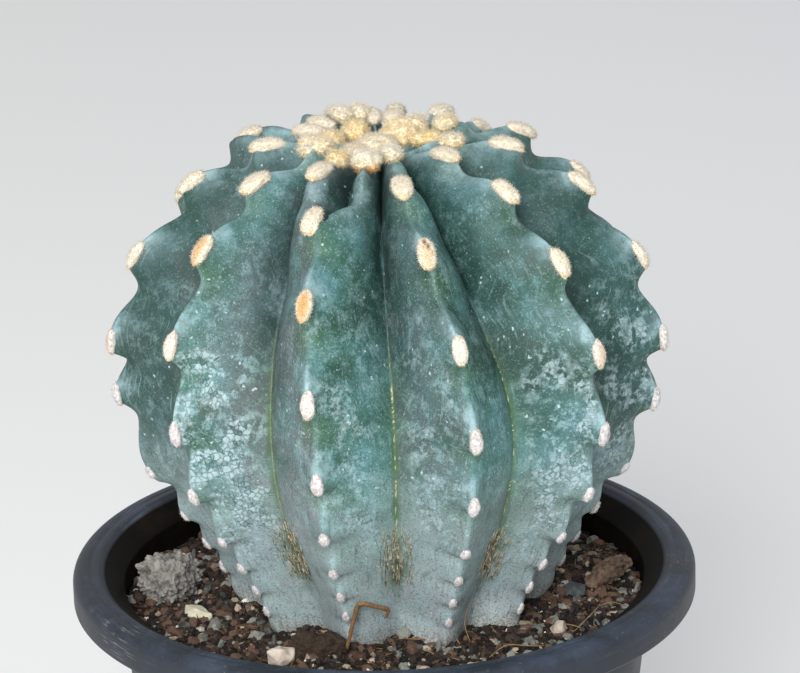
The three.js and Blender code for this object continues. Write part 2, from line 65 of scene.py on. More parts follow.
# The pot
# One injection moulding in black polypropylene: a tapered wall that ends in a rolled lip with a
# bevelled inner edge and a short skirt, and a floor with drain holes on a ring foot. The plastic
# is satin, and years of watering have left it dusty and scuffed.
MM = 0.001
RIM_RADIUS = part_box("pot")[1].x / MM
RIM_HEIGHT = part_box("pot")[1].z / MM
LIP_INNER_RADIUS = 68
LIP_ROLL = 3.2
LIP_THICKNESS = 2.1
LIP_GROOVE_RADIUS = 70.6
LIP_GROOVE_DEPTH = 0.35
BEVEL_DROP = 4.6
SKIRT_DROP = 8.7
SKIRT_THICKNESS = 1.6
NECK_RADIUS = 64
NECK_DROP = 10
BASE_RADIUS = 51
WALL = 1.4
FOOT_WIDTH = 5.5
FOOT_HEIGHT = 2
FLOOR_THICKNESS = 1.6
SMALL_EDGE = 0.8
DRAIN_HOLE_RADIUS = 4.5
DRAIN_CIRCLE_RADIUS = 33
DRAIN_HOLES = 6
PLUG_DEPTH = 12
MOULDED_EDGE = 0.35
# Points of a mesh nearer than this are made one
WELD_REACH = 0.01
POT_SIDES = 192
# Marks on the lip: place, reach in mm, the pattern they follow, and colour
LIP_MARKS = (
    ((-62.1, -41.8, 117.6), 9, "hairlines", "#8e969e"),
    ((68.7, -36.2, 115), 9, "grains", "#57493a"),
    ((68, -8, 119.7), 8, "grains", "#6f6558"),
)


def linear(colour):
    """An sRGB hex colour as the linear values that Blender's sockets hold."""
    parts = [int(colour[i:i + 2], 16) / 255 for i in (1, 3, 5)]
    return (*(c / 12.92 if c <= 0.04045 else ((c + 0.055) / 1.055) ** 2.4 for c in parts), 1.0)


def feed(node, inputs):
    """Fills a node's sockets. An input is a value, or the output that feeds it."""
    for name, value in inputs.items():
        if isinstance(value, bpy.types.NodeSocket):
            node.id_data.links.new(value, node.inputs[name])
        else:
            node.inputs[name].default_value = value


def add(tree, kind, *inputs, out=0, stops=(), **settings):
    """Adds a node with its settings and gives an output. Inputs come in turn, or by name in a dict."""
    node = tree.nodes.new(kind if "Node" in kind else "ShaderNode" + kind)
    for name, value in settings.items():
        setattr(node, name, value)
    named = inputs and isinstance(inputs[0], dict)
    feed(node, inputs[0] if named else dict(enumerate(inputs)))
    for i, (place, colour) in enumerate(stops):
        ramp = node.color_ramp.elements
        element = ramp[i] if i < len(ramp) else ramp.new(place)
        element.position = place
        element.color = linear(colour)
    return node if out is None else node.outputs[out]


def new_material(name):
    """A material with its tree to build on, its surface shader, and the place on the object."""
    material = bpy.data.materials.new(name)
    material.use_nodes = True
    tree = material.node_tree
    return material, tree, tree.nodes["Principled BSDF"], add(tree, "TexCoord", out="Object")


def make_fields(tree, chance, attributes=(), **known):
    """The fields that colours are painted by. Each of chance is a name, or three names for three
    fields apart, then where it is read, its scale, detail and roughness. Attributes are the mesh's."""
    fields = dict(known)
    for names, at, scale, detail, roughness in chance:
        inputs = {"Vector": at, "Scale": scale, "Detail": detail, "Roughness": roughness}
        clouds = add(tree, "TexNoise", inputs, out=None).outputs
        if isinstance(names, str):
            fields[names] = clouds["Fac"]
        else:
            fields.update(zip(names, add(tree, "SeparateColor", clouds["Color"], out=None).outputs))
    for name in attributes:
        fields[name] = add(tree, "Attribute", out="Fac", attribute_name=name)
    return fields


def thinned(tree, fields, strength, *parts):
    """A strength times some fields. A part is a field's name, then the range read and the range given."""
    for name, *ranges in parts:
        field = add(tree, "MapRange", fields[name], *ranges) if ranges else fields[name]
        strength = add(tree, "Math", strength, field, operation="MULTIPLY")
    return strength


def painted(tree, fields, ground, layers):
    """Paints layers over a ground one by one. A layer is its colour, or the stops that the grain takes
    it from, then its strength and the parts that thin it."""
    for colour, *amount in layers:
        if isinstance(colour, str):
            colour = linear(colour)
        elif isinstance(colour, list):
            colour = add(tree, "ValToRGB", fields["grain"], stops=colour)
        inputs = {"Factor": thinned(tree, fields, *amount), 6: ground, 7: colour}
        ground = add(tree, "Mix", inputs, out=2, data_type="RGBA")
    return ground


def make_piece(name, points, faces, finish):
    """A smooth-shaded mesh object from points in millimetres."""
    mesh = bpy.data.meshes.new(name)
    mesh.from_pydata([tuple(point) for point in np.asarray(points) * MM], [], faces)
    mesh.shade_smooth()
    mesh.materials.append(finish)
    piece = bpy.data.objects.new(name, mesh)
    bpy.context.scene.collection.objects.link(piece)
    return piece


def settle(piece):
    """Turns an object's modifiers into plain mesh and drops them."""
    graph = bpy.context.evaluated_depsgraph_get()
    mesh = bpy.data.meshes.new_from_object(piece.evaluated_get(graph))
    piece.modifiers.clear()
    piece.data = mesh
    return piece


def stacked_faces(rings, columns, capped=True):
    """Faces round a stack of closed rings of points, and over its two ends."""
    last = (rings - 1) * columns
    faces = []
    for first in range(0, last, columns):
        for i in range(columns):
            a, b = first + i, first + (i + 1) % columns
            faces.append((a, a + columns, b + columns, b))
    ends = [tuple(range(columns)), tuple(reversed(range(last, last + columns)))]
    return faces + ends if capped else faces


def weathered_polypropylene():
    """Black moulded polypropylene: satin, with a bluish film on what faces up that is dust and painted
    sheen, fine turning lines, pale scuffs and dust, and painted shade on what faces inwards.
    """
    material, tree, shader, place = new_material("weathered_polypropylene")
    normal = add(tree, "NewGeometry", out="Normal")
    flat = add(tree, "VectorMath", place, (1, 1, 0), operation="MULTIPLY")
    radius = add(tree, "VectorMath", flat, out="Value", operation="LENGTH")
    # Lines round the pot, 0.7 mm apart: the pattern runs slowly along the turn and fast across it
    height = add(tree, "SeparateXYZ", place, out="Z")
    across = add(tree, "Math", radius, height, operation="ADD")
    slow = add(tree, "VectorMath", flat, (0.03, 0.03, 0), operation="MULTIPLY")
    turned = add(tree, "VectorMath", add(tree, "CombineXYZ", {"Z": across}), slow, operation="ADD")
    chance = [
        ("lines", turned, 1400, 3, 0.5), ("hairlines", turned, 4200, 2, 0.5),
        ("dust", place, 70, 8, 0.7), ("grains", place, 1500, 3, 0.5),
    ]
    fields = make_fields(
        tree, chance, radius=radius, up=add(tree, "SeparateXYZ", normal, out="Z"),
        outward=add(tree, "VectorMath", normal, flat, out="Value", operation="DOT_PRODUCT"),
    )
    # Dust and scuffs lie in patches on what faces up, and the bluish film there is partly a painted sheen
    facing = ("up", -0.2, 0.8, 0.12, 1)
    patches = ("dust", 0.42, 0.72, 0.05, 0.85)
    layers = [
        ("#3e4b5f", 1, patches, facing),
        ("#9aa2ab", 1, patches, ("lines", 0.56, 0.72, 0, 0.4), facing),
        ("#857f76", 1, ("grains", 0.66, 0.74, 0, 0.5), facing),
    ]
    # Long pale scratches on the left of the roll, and soil that has dried on at two places
    for i, (spot, reach, mark, colour) in enumerate(LIP_MARKS):
        inputs = (place, tuple(part * MM for part in spot))
        fields[f"apart_{i}"] = add(tree, "VectorMath", *inputs, out="Value", operation="DISTANCE")
        near = (f"apart_{i}", reach * MM, 0.2 * reach * MM)
        layers.append((colour, 1, near, (mark, 0.58, 0.68)))
    # The faces that look inwards are painted near black and lose their specular, a painted shade inside the
    # lip, with a brown film of dried soil in patches
    inwards = ("outward", -5 * MM, -20 * MM)
    within = ("radius", LIP_INNER_RADIUS * MM, (LIP_INNER_RADIUS - 0.8) * MM)
    fields["sheltered"] = thinned(tree, fields, 1, inwards, within)
    shaded_black = painted(tree, fields, linear("#070808"), [("#231c16", 1, patches)])
    layers.append((shaded_black, 1, ("sheltered",)))
    relief = add(tree, "Math", fields["lines"], fields["grains"], operation="ADD")
    feed(shader, {
        "Base Color": painted(tree, fields, linear("#171d26"), layers),
        "Roughness": add(tree, "MapRange", fields["dust"], 0, 1, 0.34, 0.72),
        "Specular IOR Level": add(tree, "MapRange", fields["sheltered"], 0, 1, 0.5, 0.04),
        "Normal": add(tree, "Bump", {"Height": relief, "Strength": 0.3, "Distance": 0.08 * MM}),
    })
    return material


def pot_profile():
    """The pot's section as points of radius and height, from the floor inside round to the foot."""
    top = RIM_HEIGHT
    neck = top - NECK_DROP
    floor = FOOT_HEIGHT + FLOOR_THICKNESS
    skirt = top - SKIRT_DROP
    skirt_inner = RIM_RADIUS - SKIRT_THICKNESS
    floor_radius = BASE_RADIUS + (NECK_RADIUS - BASE_RADIUS) * floor / neck - WALL
    turns = [math.radians(90 - 10 * i) for i in range(10)]
    roll = [
        (RIM_RADIUS - LIP_ROLL * (1 - math.cos(turn)), top - LIP_ROLL * (1 - math.sin(turn)))
        for turn in turns
    ]
    groove = [(-0.7, 0), (-0.3, -0.6), (0, -1), (0.3, -0.6), (0.7, 0)]
    return [
        (floor_radius, floor),
        (NECK_RADIUS - WALL, neck),
        (NECK_RADIUS - WALL, top - BEVEL_DROP),
        (LIP_INNER_RADIUS - LIP_THICKNESS, top - LIP_THICKNESS),
        (LIP_INNER_RADIUS, top - SMALL_EDGE),
        (LIP_INNER_RADIUS + SMALL_EDGE, top),
        *[(LIP_GROOVE_RADIUS + out, top + LIP_GROOVE_DEPTH * down) for out, down in groove],
        *roll,
        (RIM_RADIUS, skirt + SMALL_EDGE),
        (RIM_RADIUS - SMALL_EDGE, skirt),
        (skirt_inner, skirt),
        (skirt_inner, top - LIP_ROLL),
        (skirt_inner - SKIRT_THICKNESS, top - LIP_THICKNESS),
        (LIP_INNER_RADIUS + SMALL_EDGE, top - LIP_THICKNESS),
        (NECK_RADIUS + SKIRT_THICKNESS, top - 2 * LIP_THICKNESS),
        (NECK_RADIUS, top - BEVEL_DROP - LIP_THICKNESS),
        (NECK_RADIUS, neck),
        (BASE_RADIUS, SMALL_EDGE),
        (BASE_RADIUS - SMALL_EDGE, 0),
        (BASE_RADIUS - FOOT_WIDTH, 0),
        (BASE_RADIUS - FOOT_WIDTH - SMALL_EDGE, FOOT_HEIGHT),
    ]


def polar(radius, azimuth, height):
    """A point at an azimuth in degrees: 0 is the front and 90 the right."""
    turn = np.radians(azimuth)
    return np.stack(np.broadcast_arrays(radius * np.sin(turn), -radius * np.cos(turn), height), -1)


def revolve(profile, sides):
    """Points and faces of a closed body from a section that starts and ends beside the axis."""
    azimuths = np.arange(sides) * 360 / sides
    rings = [polar(radius, azimuths, height) for radius, height in profile]
    return np.concatenate(rings), stacked_faces(len(rings), sides)


def drain_cutter():
    """Round plugs where the floor's drain holes go, as one mesh object."""
    cutter = bmesh.new()
    azimuths = [(i + 0.5) * 360 / DRAIN_HOLES for i in range(DRAIN_HOLES)]
    places = [polar(0, 0, FOOT_HEIGHT), *[polar(DRAIN_CIRCLE_RADIUS, a, FOOT_HEIGHT) for a in azimuths]]
    for place in places:
        radius = DRAIN_HOLE_RADIUS * MM
        bmesh.ops.create_cone(
            cutter, cap_ends=True, segments=32, radius1=radius, radius2=radius, depth=PLUG_DEPTH * MM,
            matrix=Matrix.Translation(Vector(place) * MM),
        )
    mesh = bpy.data.meshes.new("drain_cutter")
    cutter.to_mesh(mesh)
    cutter.free()
    plugs = bpy.data.objects.new("drain_cutter", mesh)
    bpy.context.scene.collection.objects.link(plugs)
    return plugs


polypropylene = weathered_polypropylene()
pot = make_piece("nursery_pot", *revolve(pot_profile(), POT_SIDES), polypropylene)
plugs = drain_cutter()
holes = pot.modifiers.new("drain_holes", "BOOLEAN")
holes.object = plugs
rounding = pot.modifiers.new("moulded_edges", "BEVEL")
rounding.width = MOULDED_EDGE * MM
rounding.segments = 2
rounding.limit_method = "ANGLE"
rounding.angle_limit = math.radians(25)
welding = pot.modifiers.new("closed_seams", "WELD")
welding.merge_threshold = WELD_REACH * MM
settle(pot)
bpy.data.objects.remove(plugs)
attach(pot, "root")
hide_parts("pot")

# The stem
# One living body: eleven ribs run from the sunken crown down to the root, and four of them fork
# near the crown. Each crest swells to an areole and is notched below it, and the flanks meet in
# narrow grooves. A blue-white bloom of wax lies over the green skin, rubbed and cracked with age.
# Painted highlights lie on the crests, and painted shade below the areoles, in the upper grooves and in the
# forks' saddles.
STEM_OFFSET_X = 2.2
# Both lines run from the crown to the root's tip: radius from the stem's axis, height above the rim
CREST_LINE = np.array([
    (0, 99.5), (8, 102.4), (20, 104.8), (34, 102.3), (47, 94.6), (56.5, 83.5), (63.2, 70.5), (65.6, 56.5),
    (64.2, 43), (60.2, 30), (53.4, 19), (46.4, 8.5), (40.5, -2), (36.5, -13), (31, -24), (20, -34), (0, -41),
])
GROOVE_LINE = np.array([
    (0, 99.5), (7, 97.5), (15, 94), (23.5, 89), (31.5, 82.8), (38.5, 74.6), (44.8, 65), (49, 55),
    (50.6, 44.5), (49.2, 33.5), (45.4, 22.5), (39.8, 11), (34.6, 0), (30.4, -12), (27.5, -23), (19.5, -33.5),
    (0, -41),
])
# Where a rib's areoles sit along its crest, and how deep the crest is notched below each
AREOLE_PATH = np.array([3, 17, 35.4, 55.8, 79.1, 100.3, 117.4, 134, 144.4, 152.7, 159.5, 166, 172, 188, 203])
NOTCH_DEPTH = np.array([0.4, 1.8, 4.2, 4.5, 4.2, 3.9, 3.5, 2.4, 1.6, 1.2, 0.9, 0.5, 0, 0, 0])
LAST_AREOLE = 11
NOTCH_SKEW = 0.6
NOTCH_SHARPNESS = 3.4
BUMP_PINCH_IN_CROWN = 1.2
BUMP_PINCH_AT_SIDE = 5
OVERHANG = 0.35
FLANK_SWELL = 0.05
SWELL_ZONE = (60, 110)
SWAY_ANGLE = 0.4
SWAY_LENGTH = 82
SWAY_SHIFT = 2.4
CREST_ROUNDING = 0.06
FULL_POWER = 4
FULLNESS = 0.66
MOST_WORN = 0.8
# One rib each: azimuth at the widest height, azimuth in the crown, how far its areoles sit from
# the common path in areole steps, and the spread of its two crests where it forks
RIBS = np.array([
    (-15.2, -21, -0.5, 22), (18, 7, -0.04, 0), (49.5, 43, 0.33, 0), (83, 81, -0.25, 0), (115.5, 118, 0.2, 0),
    (148, 149, -0.3, 0), (180, 179, 0.3, 16), (212.5, 204, 0, 14), (245, 237, 0.35, 20),
    (278, 274, -0.38, 0), (311.5, 306, 0.15, 0),
])
AZIMUTH, CROWN_AZIMUTH, PHASE, FORK = RIBS.T
RIB_COUNT = len(RIBS)
# The sixth areole of the two ribs at the sides sits higher than the others', by so many areole steps
EARLY_AREOLE = 6
EARLY = np.zeros(RIB_COUNT)
EARLY[3] = 0.18
EARLY[9] = 0.38
TURN_ZONE = (16, 110)
FORK_ZONE = (31, 48)
CROWN_ZONE = (28, 80)
WORN_ZONE = (126, 162)
FORK_SADDLE = 0.97
NARROWEST_FORK = 0.15
FLANK_COLUMNS = 16
FORK_COLUMN = 0.5
ROW_SPACING = 0.66
SKIN_LUMPS = ((14, 0.35), (5, 0.12))


def smooth_step(zone, value):
    share = np.clip((value - zone[0]) / (zone[1] - zone[0]), 0, 1)
    return share * share * (3 - 2 * share)


def between(start, end, share):
    return start + (end - start) * share


def read_between(values, place):
    return np.interp(place, np.arange(len(values)), values)


def spline(points, place, pull=0.5):
    """Points on a smooth curve through others, at places from 0 to 1."""
    at = np.clip(place, 0, 1) * (len(points) - 1)
    here = np.minimum(at.astype(int), len(points) - 2)
    share = (at - here)[..., None]
    before, start, end, after = (points[np.clip(here + i, 0, len(points) - 1)] for i in (-1, 0, 1, 2))
    leaving = (end - before) * pull
    arriving = (after - start) * pull
    bend = -3 * start + 3 * end - 2 * leaving - arriving
    turn = 2 * start - 2 * end + leaving + arriving
    return start + leaving * share + bend * share**2 + turn * share**3


crest_places = np.linspace(0, 1, 1500)
crest_steps = np.linalg.norm(np.diff(spline(CREST_LINE, crest_places), axis=0), axis=1)
crest_arcs = np.concatenate([[0], np.cumsum(crest_steps)])


def place_at(arc):
    """Where a distance along the crest lies on both lines, from 0 to 1."""
    return np.interp(arc, crest_arcs, crest_places)


def slope_at(place):
    """The crest's direction at a place, as radius and height."""
    nudge = 0.0005
    before = spline(CREST_LINE, np.maximum(place - nudge, 0))
    ahead = spline(CREST_LINE, np.minimum(place + nudge, 1)) - before
    return ahead / np.linalg.norm(ahead, axis=-1, keepdims=True)


def neighbour(rib, side):
    """The rib beside another one, and its azimuths counted on without a jump."""
    beside = (rib + side) % RIB_COUNT
    turn = np.where(side * (AZIMUTH[beside] - AZIMUTH[rib]) < 0, side * 360, 0)
    return beside, AZIMUTH[beside] + turn, CROWN_AZIMUTH[beside] + turn


def crest_azimuth(rib, arc):
    sway = SWAY_ANGLE * np.sin(2 * math.pi * arc / SWAY_LENGTH + rib * SWAY_SHIFT)
    return between(CROWN_AZIMUTH[rib], AZIMUTH[rib], smooth_step(TURN_ZONE, arc)) + sway


def groove_azimuth(rib, side, arc):
    beside, azimuth, crown_azimuth = neighbour(rib, side)
    crown = (CROWN_AZIMUTH[rib] + crown_azimuth + side * (FORK[rib] - FORK[beside]) / 2) / 2
    return between(crown, (AZIMUTH[rib] + azimuth) / 2, smooth_step(TURN_ZONE, arc))


def phase_share(step):
    return smooth_step((0, 1), step) * (1 - smooth_step((LAST_AREOLE, LAST_AREOLE + 1), step))


def flank_height(share, arc, swell):
    """The flank's height above the groove: full in the crown, straight lower down, a wave at the soil."""
    blunted = np.hypot(share, CREST_ROUNDING) - CREST_ROUNDING
    sharp = 1 - blunted / (math.hypot(1, CREST_ROUNDING) - CREST_ROUNDING)
    full = between(sharp, 1 - np.abs(share) ** FULL_POWER, FULLNESS)
    wave = 0.5 + 0.5 * np.cos(math.pi * share)
    upper = between(sharp, full, 1 - smooth_step(CROWN_ZONE, arc))
    return between(upper, wave, MOST_WORN * smooth_step(WORN_ZONE, arc)) + swell * np.sin(math.pi * share)


def fork_share(rib, side, arc):
    spread = FORK[rib] / 2 * (1 - smooth_step(FORK_ZONE, arc))
    return spread / np.abs(groove_azimuth(rib, side, arc) - crest_azimuth(rib, arc))


def phase_at(rib, step):
    """How far a rib's areoles sit from the common path at a step."""
    return PHASE[rib] * phase_share(step) - EARLY[rib] * np.maximum(0, 1 - np.abs(step - EARLY_AREOLE))


def areole_arc(rib, step):
    return read_between(AREOLE_PATH, step + phase_at(rib, step))


def stem_skin(rib, side, share, step):
    """Points of the skin in mm, with the distance along the crest."""
    beside = neighbour(rib, side)[0]
    phase = phase_at(rib, step)
    phase = between(phase, (phase + phase_at(beside, step)) / 2, share)
    arc = read_between(AREOLE_PATH, step + phase)
    place = place_at(arc)
    slope = slope_at(place)
    outwards = np.stack([-slope[..., 1], slope[..., 0]], -1)
    forked = fork_share(rib, side, areole_arc(rib, step))
    saddle = FORK_SADDLE * (forked - share) / np.maximum(forked, NARROWEST_FORK)
    from_crest = np.where(share >= forked, (share - forked) / (1 - forked), saddle)
    notch = np.sin(math.pi * (step % 1) ** NOTCH_SKEW) ** NOTCH_SHARPNESS
    pinch = between(BUMP_PINCH_IN_CROWN, BUMP_PINCH_AT_SIDE, smooth_step(CROWN_ZONE, arc))
    depth = read_between(NOTCH_DEPTH, step + phase)
    bump = (1 - notch) * np.maximum(0, 1 - from_crest) ** pinch
    swell = FLANK_SWELL * np.cos(2 * math.pi * step) * (1 - smooth_step(SWELL_ZONE, arc))
    height = flank_height(from_crest, arc, swell)
    section = between(spline(GROOVE_LINE, place), spline(CREST_LINE, place), height[..., None])
    section = section - outwards * (depth * (height - bump))[..., None]
    section = section + slope * (OVERHANG * depth * bump)[..., None]
    azimuth = between(crest_azimuth(rib, arc), groove_azimuth(rib, side, arc), share)
    points = polar(section[..., 0], azimuth, RIM_HEIGHT + section[..., 1])
    points[..., 0] += STEM_OFFSET_X
    return points, arc


def stem_columns():
    """Rib, side and share of the flank for each column of the skin, crowded at crest and groove."""
    even = np.arange(FLANK_COLUMNS) / FLANK_COLUMNS
    shares = 0.4 * even + 0.6 * (0.5 - 0.5 * np.cos(math.pi * even))
    side = np.concatenate([-np.ones(FLANK_COLUMNS), np.ones(FLANK_COLUMNS)]).astype(int)
    share = np.concatenate([1 - shares, shares])
    rib = np.repeat(np.arange(RIB_COUNT), 2 * FLANK_COLUMNS)
    return rib, np.tile(side, RIB_COUNT), np.tile(share, RIB_COUNT)


def fork_columns(rib, side, share, steps):
    """Shifts the columns of the forked ribs, so that one of them runs along each fork's crest."""
    forked = fork_share(rib, side, areole_arc(rib, steps))
    strongest = np.log(np.maximum(forked, NARROWEST_FORK)) / math.log(FORK_COLUMN)
    return share ** between(1, strongest, np.minimum(forked / NARROWEST_FORK, 1))


def stem_rows():
    """Areole steps of the skin's rows, evenly spaced in millimetres down to the soil."""
    arcs = np.arange(4, AREOLE_PATH[LAST_AREOLE + 1], ROW_SPACING)
    above = np.interp(arcs, AREOLE_PATH, np.arange(len(AREOLE_PATH)))
    return np.concatenate([above, np.linspace(LAST_AREOLE + 1, len(AREOLE_PATH) - 1, 16)])


def flank_distances(points):
    """Millimetres from each point to its rib's crest and to its groove, along its row."""
    rows = len(points)
    ribs = points.reshape(rows, RIB_COUNT, 2 * FLANK_COLUMNS, 3)
    closed = np.concatenate([ribs, np.roll(ribs, -1, axis=1)[:, :, :1]], axis=2)
    lengths = np.linalg.norm(np.diff(closed, axis=2), axis=3)
    walked = np.concatenate([np.zeros((rows, RIB_COUNT, 1)), np.cumsum(lengths, axis=2)], axis=2)
    crest = walked[:, :, FLANK_COLUMNS:FLANK_COLUMNS + 1]
    whole = walked[:, :, -1:]
    here = walked[:, :, :-1]
    from_groove = np.minimum(here, whole - here)
    return (here - crest).reshape(rows, -1), from_groove.reshape(rows, -1)


def set_values(mesh, name, values):
    """Stores one number, or one vector, for each point of a mesh."""
    kind = "FLOAT" if values.ndim == 1 else "FLOAT_VECTOR"
    attribute = mesh.attributes.new(name, kind, "POINT")
    label = "value" if values.ndim == 1 else "vector"
    attribute.data.foreach_set(label, values.astype(np.float32).ravel())


def lump(piece, lumps, shift=0):
    """Moves a piece's points along their normals by noise, and gives the rise: each lump is its size
    and height in mm, and the kind of noise where it isn't a soft swell."""
    mesh = piece.data
    points = np.array([tuple(v.co) for v in mesh.vertices])
    normals = np.array([tuple(v.normal) for v in mesh.vertices])
    rise = np.zeros(len(points))
    for size, height, *kind in lumps:
        at = points / (size * MM) + shift
        basis = kind[0] if kind else "PERLIN_ORIGINAL"
        rise += height * np.array([noise.noise(place, noise_basis=basis) for place in at])
    mesh.vertices.foreach_set("co", (points + normals * rise[:, None] * MM).ravel())
    mesh.update()
    return rise


def waxy_cactus_skin():
    """Living skin under a waxy bloom: dull teal, paler where the wax lies thick, grey-violet where the
    sun has marked it, with specks, rubbed streaks and cracked scales of wax, and corky grooves, and
    painted highlights on the crests and painted shade below the areoles, in grooves and in saddles."""
    material, tree, shader, place = new_material("waxy_cactus_skin")
    in_mm = add(tree, "VectorMath", {0: place, "Scale": 1 / MM}, operation="SCALE")
    flank = add(tree, "Attribute", out="Vector", attribute_name="skin")
    along_rib = add(tree, "VectorMath", flank, (1, 0.07, 1), operation="MULTIPLY")
    # Patches of 8 to 20 mm, mottle of 1 to 4 mm, and grain under half a mm
    chance = [
        ("hue", in_mm, 1 / 19, 3, 0.6), (("patch_a", "patch_b", "patch_c"), in_mm, 1 / 8, 3, 0.6),
        ("mottle", in_mm, 1 / 3.2, 6, 0.75), (("grain_a", "grain_b", "grain_c"), in_mm, 1 / 0.5, 2, 0.7),
        ("streaks", along_rib, 1 / 0.75, 3, 0.65), ("beads", along_rib, 1 / 0.5, 3, 0.7),
    ]
    stored = ("violet", "areole_halo", "bare", "blotted", "painted_highlight", "from_crest", "from_groove", "down")
    fields = make_fields(tree, chance, stored, height=add(tree, "SeparateXYZ", in_mm, out="Z"))

    # Scales of wax about 1.2 mm across: their edges, their middles, and two numbers for each
    inputs = {"Vector": in_mm, "Scale": 1 / 0.9, "Detail": 2, "Roughness": 0.6}
    nudge = add(tree, "TexNoise", inputs, out="Color")
    bent = add(tree, "VectorMath", nudge, (1.3, 1.3, 1.3), in_mm, operation="MULTIPLY_ADD")
    inputs = {"Vector": bent, "Scale": 1 / 1.3}
    fields["edges"] = add(tree, "TexVoronoi", inputs, out="Distance", feature="DISTANCE_TO_EDGE")
    scales = add(tree, "TexVoronoi", inputs, out=None).outputs
    fields["middle"] = scales["Distance"]
    numbers = add(tree, "SeparateColor", scales["Color"], out=None).outputs
    fields["chosen"] = numbers["Red"]
    for name, share, under in (("picked", 0.08, numbers["Green"]), ("cracking", 0.2, fields["patch_c"])):
        fields[name] = add(tree, "Math", fields["blotted"], share, under, operation="MULTIPLY_ADD")

    low = ("height", 163, 116)
    waxed = ("unwaxed", 0, 1, 1, 0.3)
    lined = (("down", 70, 92), ("down", 158, 148))
    fields["unwaxed"] = thinned(tree, fields, 1, ("bare",), ("patch_b", 0.3, 0.65, 1, 0.7))
    fields["cracked"] = thinned(
        tree, fields, 1, ("cracking", 0.62, 0.7), ("mottle", 0.36, 0.46), ("height", 128, 142),
        ("blotted", 0.2, 0.8, 0.3, 1),
    )
    # A faint painted highlight all along the crest, added to the one above each areole
    at_crest = thinned(tree, fields, 0.22, ("from_crest", 1.5, 0.2))
    fields["worn"] = add(tree, "Math", fields["painted_highlight"], at_crest, operation="ADD")
    hue = thinned(tree, fields, 0.7, ("hue",))
    tone = add(tree, "Math", fields["mottle"], 0.3, hue, operation="MULTIPLY_ADD")
    ground = add(tree, "ValToRGB", tone, stops=[(0.4, "#294f42"), (0.5, "#43726d"), (0.6, "#5f8f94")])
    layers = [
        # Grey-violet where the sun has marked the skin, and green below each areole that is partly painted
        # shade in the notch
        ("#666a6e", 0.85, ("violet",), ("patch_a", 0.3, 0.6, 0.35, 1)),
        ("#3d6138", 0.8, ("areole_halo",), ("mottle", 0.3, 0.6, 0.4, 1)),
        # Towards the soil the wax is thick and chalky
        ("#bccacd", 1, low, ("patch_b", 0.3, 0.7, 0.65, 1)),
        ("#8b8d97", 0.45, low, ("hue", 0.46, 0.6)),
        ("#65767b", 0.45, low, ("grain_c", 0.5, 0.66)),
        # Where the wax never formed or was rubbed off, the bare skin is dark green; the same dark green is
        # painted shade in the upper grooves, in a fork's saddle and on some flanks
        ("#10342f", 0.9, ("unwaxed",)),
        # Bloom left in crisp blots, thinner and thicker by patches, and drawn out in fine streaks
        ("#9dbac0", 0.75, ("mottle", 0.53, 0.59), ("blotted",), ("hue", 0.35, 0.6, 0.4, 1)),
        ("#93b3b8", 1, ("mottle", 0.47, 0.62), ("patch_c", 0.4, 0.6, 0.05, 0.4), waxed),
        ("#a9c0c3", 0.3, ("streaks", 0.56, 0.66), ("patch_b", 0.4, 0.6), ("down", 35, 75)),
        ("#2b4641", 0.45, ("streaks", 0.44, 0.34)),
        ("#b9cdce", 0.5, ("grain_a", 0.57, 0.72), waxed),
        ("#233c37", 0.6, ("grain_b", 0.54, 0.68)),
        # Cracked wax in some patches, its scales edged by dark hairlines, and loose specks of wax
        ("#b3cad0", 0.6, ("cracked",), ("chosen", 0.35, 0.4)),
        ("#213833", 0.65, ("cracked",), ("edges", 0.16, 0.02)),
        ("#c3d6d8", 0.7, ("middle", 0.28, 0.18), ("picked", 0.95, 0.98)),
        # A painted highlight makes the crest pale in a broad, soft patch above each areole, and a little all
        # along
        ("#9fbcc2", 1, ("worn",), ("mottle", 0.36, 0.56, 0.25, 0.75)),
        # A green line runs down the groove from the widest height, beaded with dry tan cork
        ("#3f5a3a", 0.8, *lined, ("from_groove", 1.5, 0.3), ("patch_a", 0.38, 0.58, 0.45, 1)),
        ("#49683f", 0.4, *lined, ("from_groove", 7, 1), ("mottle", 0.42, 0.58)),
        ("#b9b18b", 1, *lined, ("from_groove", 0.32, 0.14), ("beads", 0.53, 0.6)),
        # The groove is olive at its foot, and soil dust lies on the skin just above the soil
        ("#55604a", 1, ("down", 132, 141), ("down", 156, 148), ("from_groove", 4.5, 1.5),
         ("mottle", 0.4, 0.56, 0.1, 0.8)),
        ("#7c6a52", 1, ("height", 117, 110.5), ("grain_c", 0.42, 0.56)),
    ]
    relief = add(tree, "Math", fields["streaks"], 0.6, fields["grain_a"], operation="MULTIPLY_ADD")
    raised = thinned(tree, fields, 0.5, ("cracked",), ("edges", 0, 0.2))
    relief = add(tree, "Math", relief, raised, operation="ADD")
    feed(shader, {
        "Base Color": painted(tree, fields, ground, layers),
        "Roughness": add(tree, "MapRange", fields["mottle"], 0.35, 0.6, 0.46, 0.7),
        "Specular IOR Level": 0.35,
        "Normal": add(tree, "Bump", {"Height": relief, "Strength": 0.5, "Distance": 0.15 * MM}),
    })
    return material


# Marks of the skin: the green below each areole, partly painted shade, and the painted highlight above it,
# in mm or steps of the areoles
HALO_DROP = 3.8
HALO_REACH = 3.8
HIGHLIGHT_STEP = -0.27
HIGHLIGHT_REACH = (0.1, 2.4)
CREST_HIGHLIGHT_REACH = 3.2
SADDLE_EDGE = (0.15, 0.6)
ARM_REACH = 0.14
# Where they fade in or out, in mm down the crest
HIGHLIGHT_ZONE = (125, 100)
CREST_HIGHLIGHT_ZONE = (46, 24)
ARM_HIGHLIGHT_ZONE = (52, 30)
BARE_SHADED_FLANK_ZONE = (142, 100)
BARE_TOP_ZONE = (95, 40)
GROOVE_SHADE_ZONE = (118, 60)
BLOT_ZONE = (62, 92)
STREAK_DRIFT_ZONE = (58, 118)


def bell(*offsets):
    """One where all offsets are zero, and less the larger they are."""
    return np.exp(-sum(offset**2 for offset in offsets) / 2)


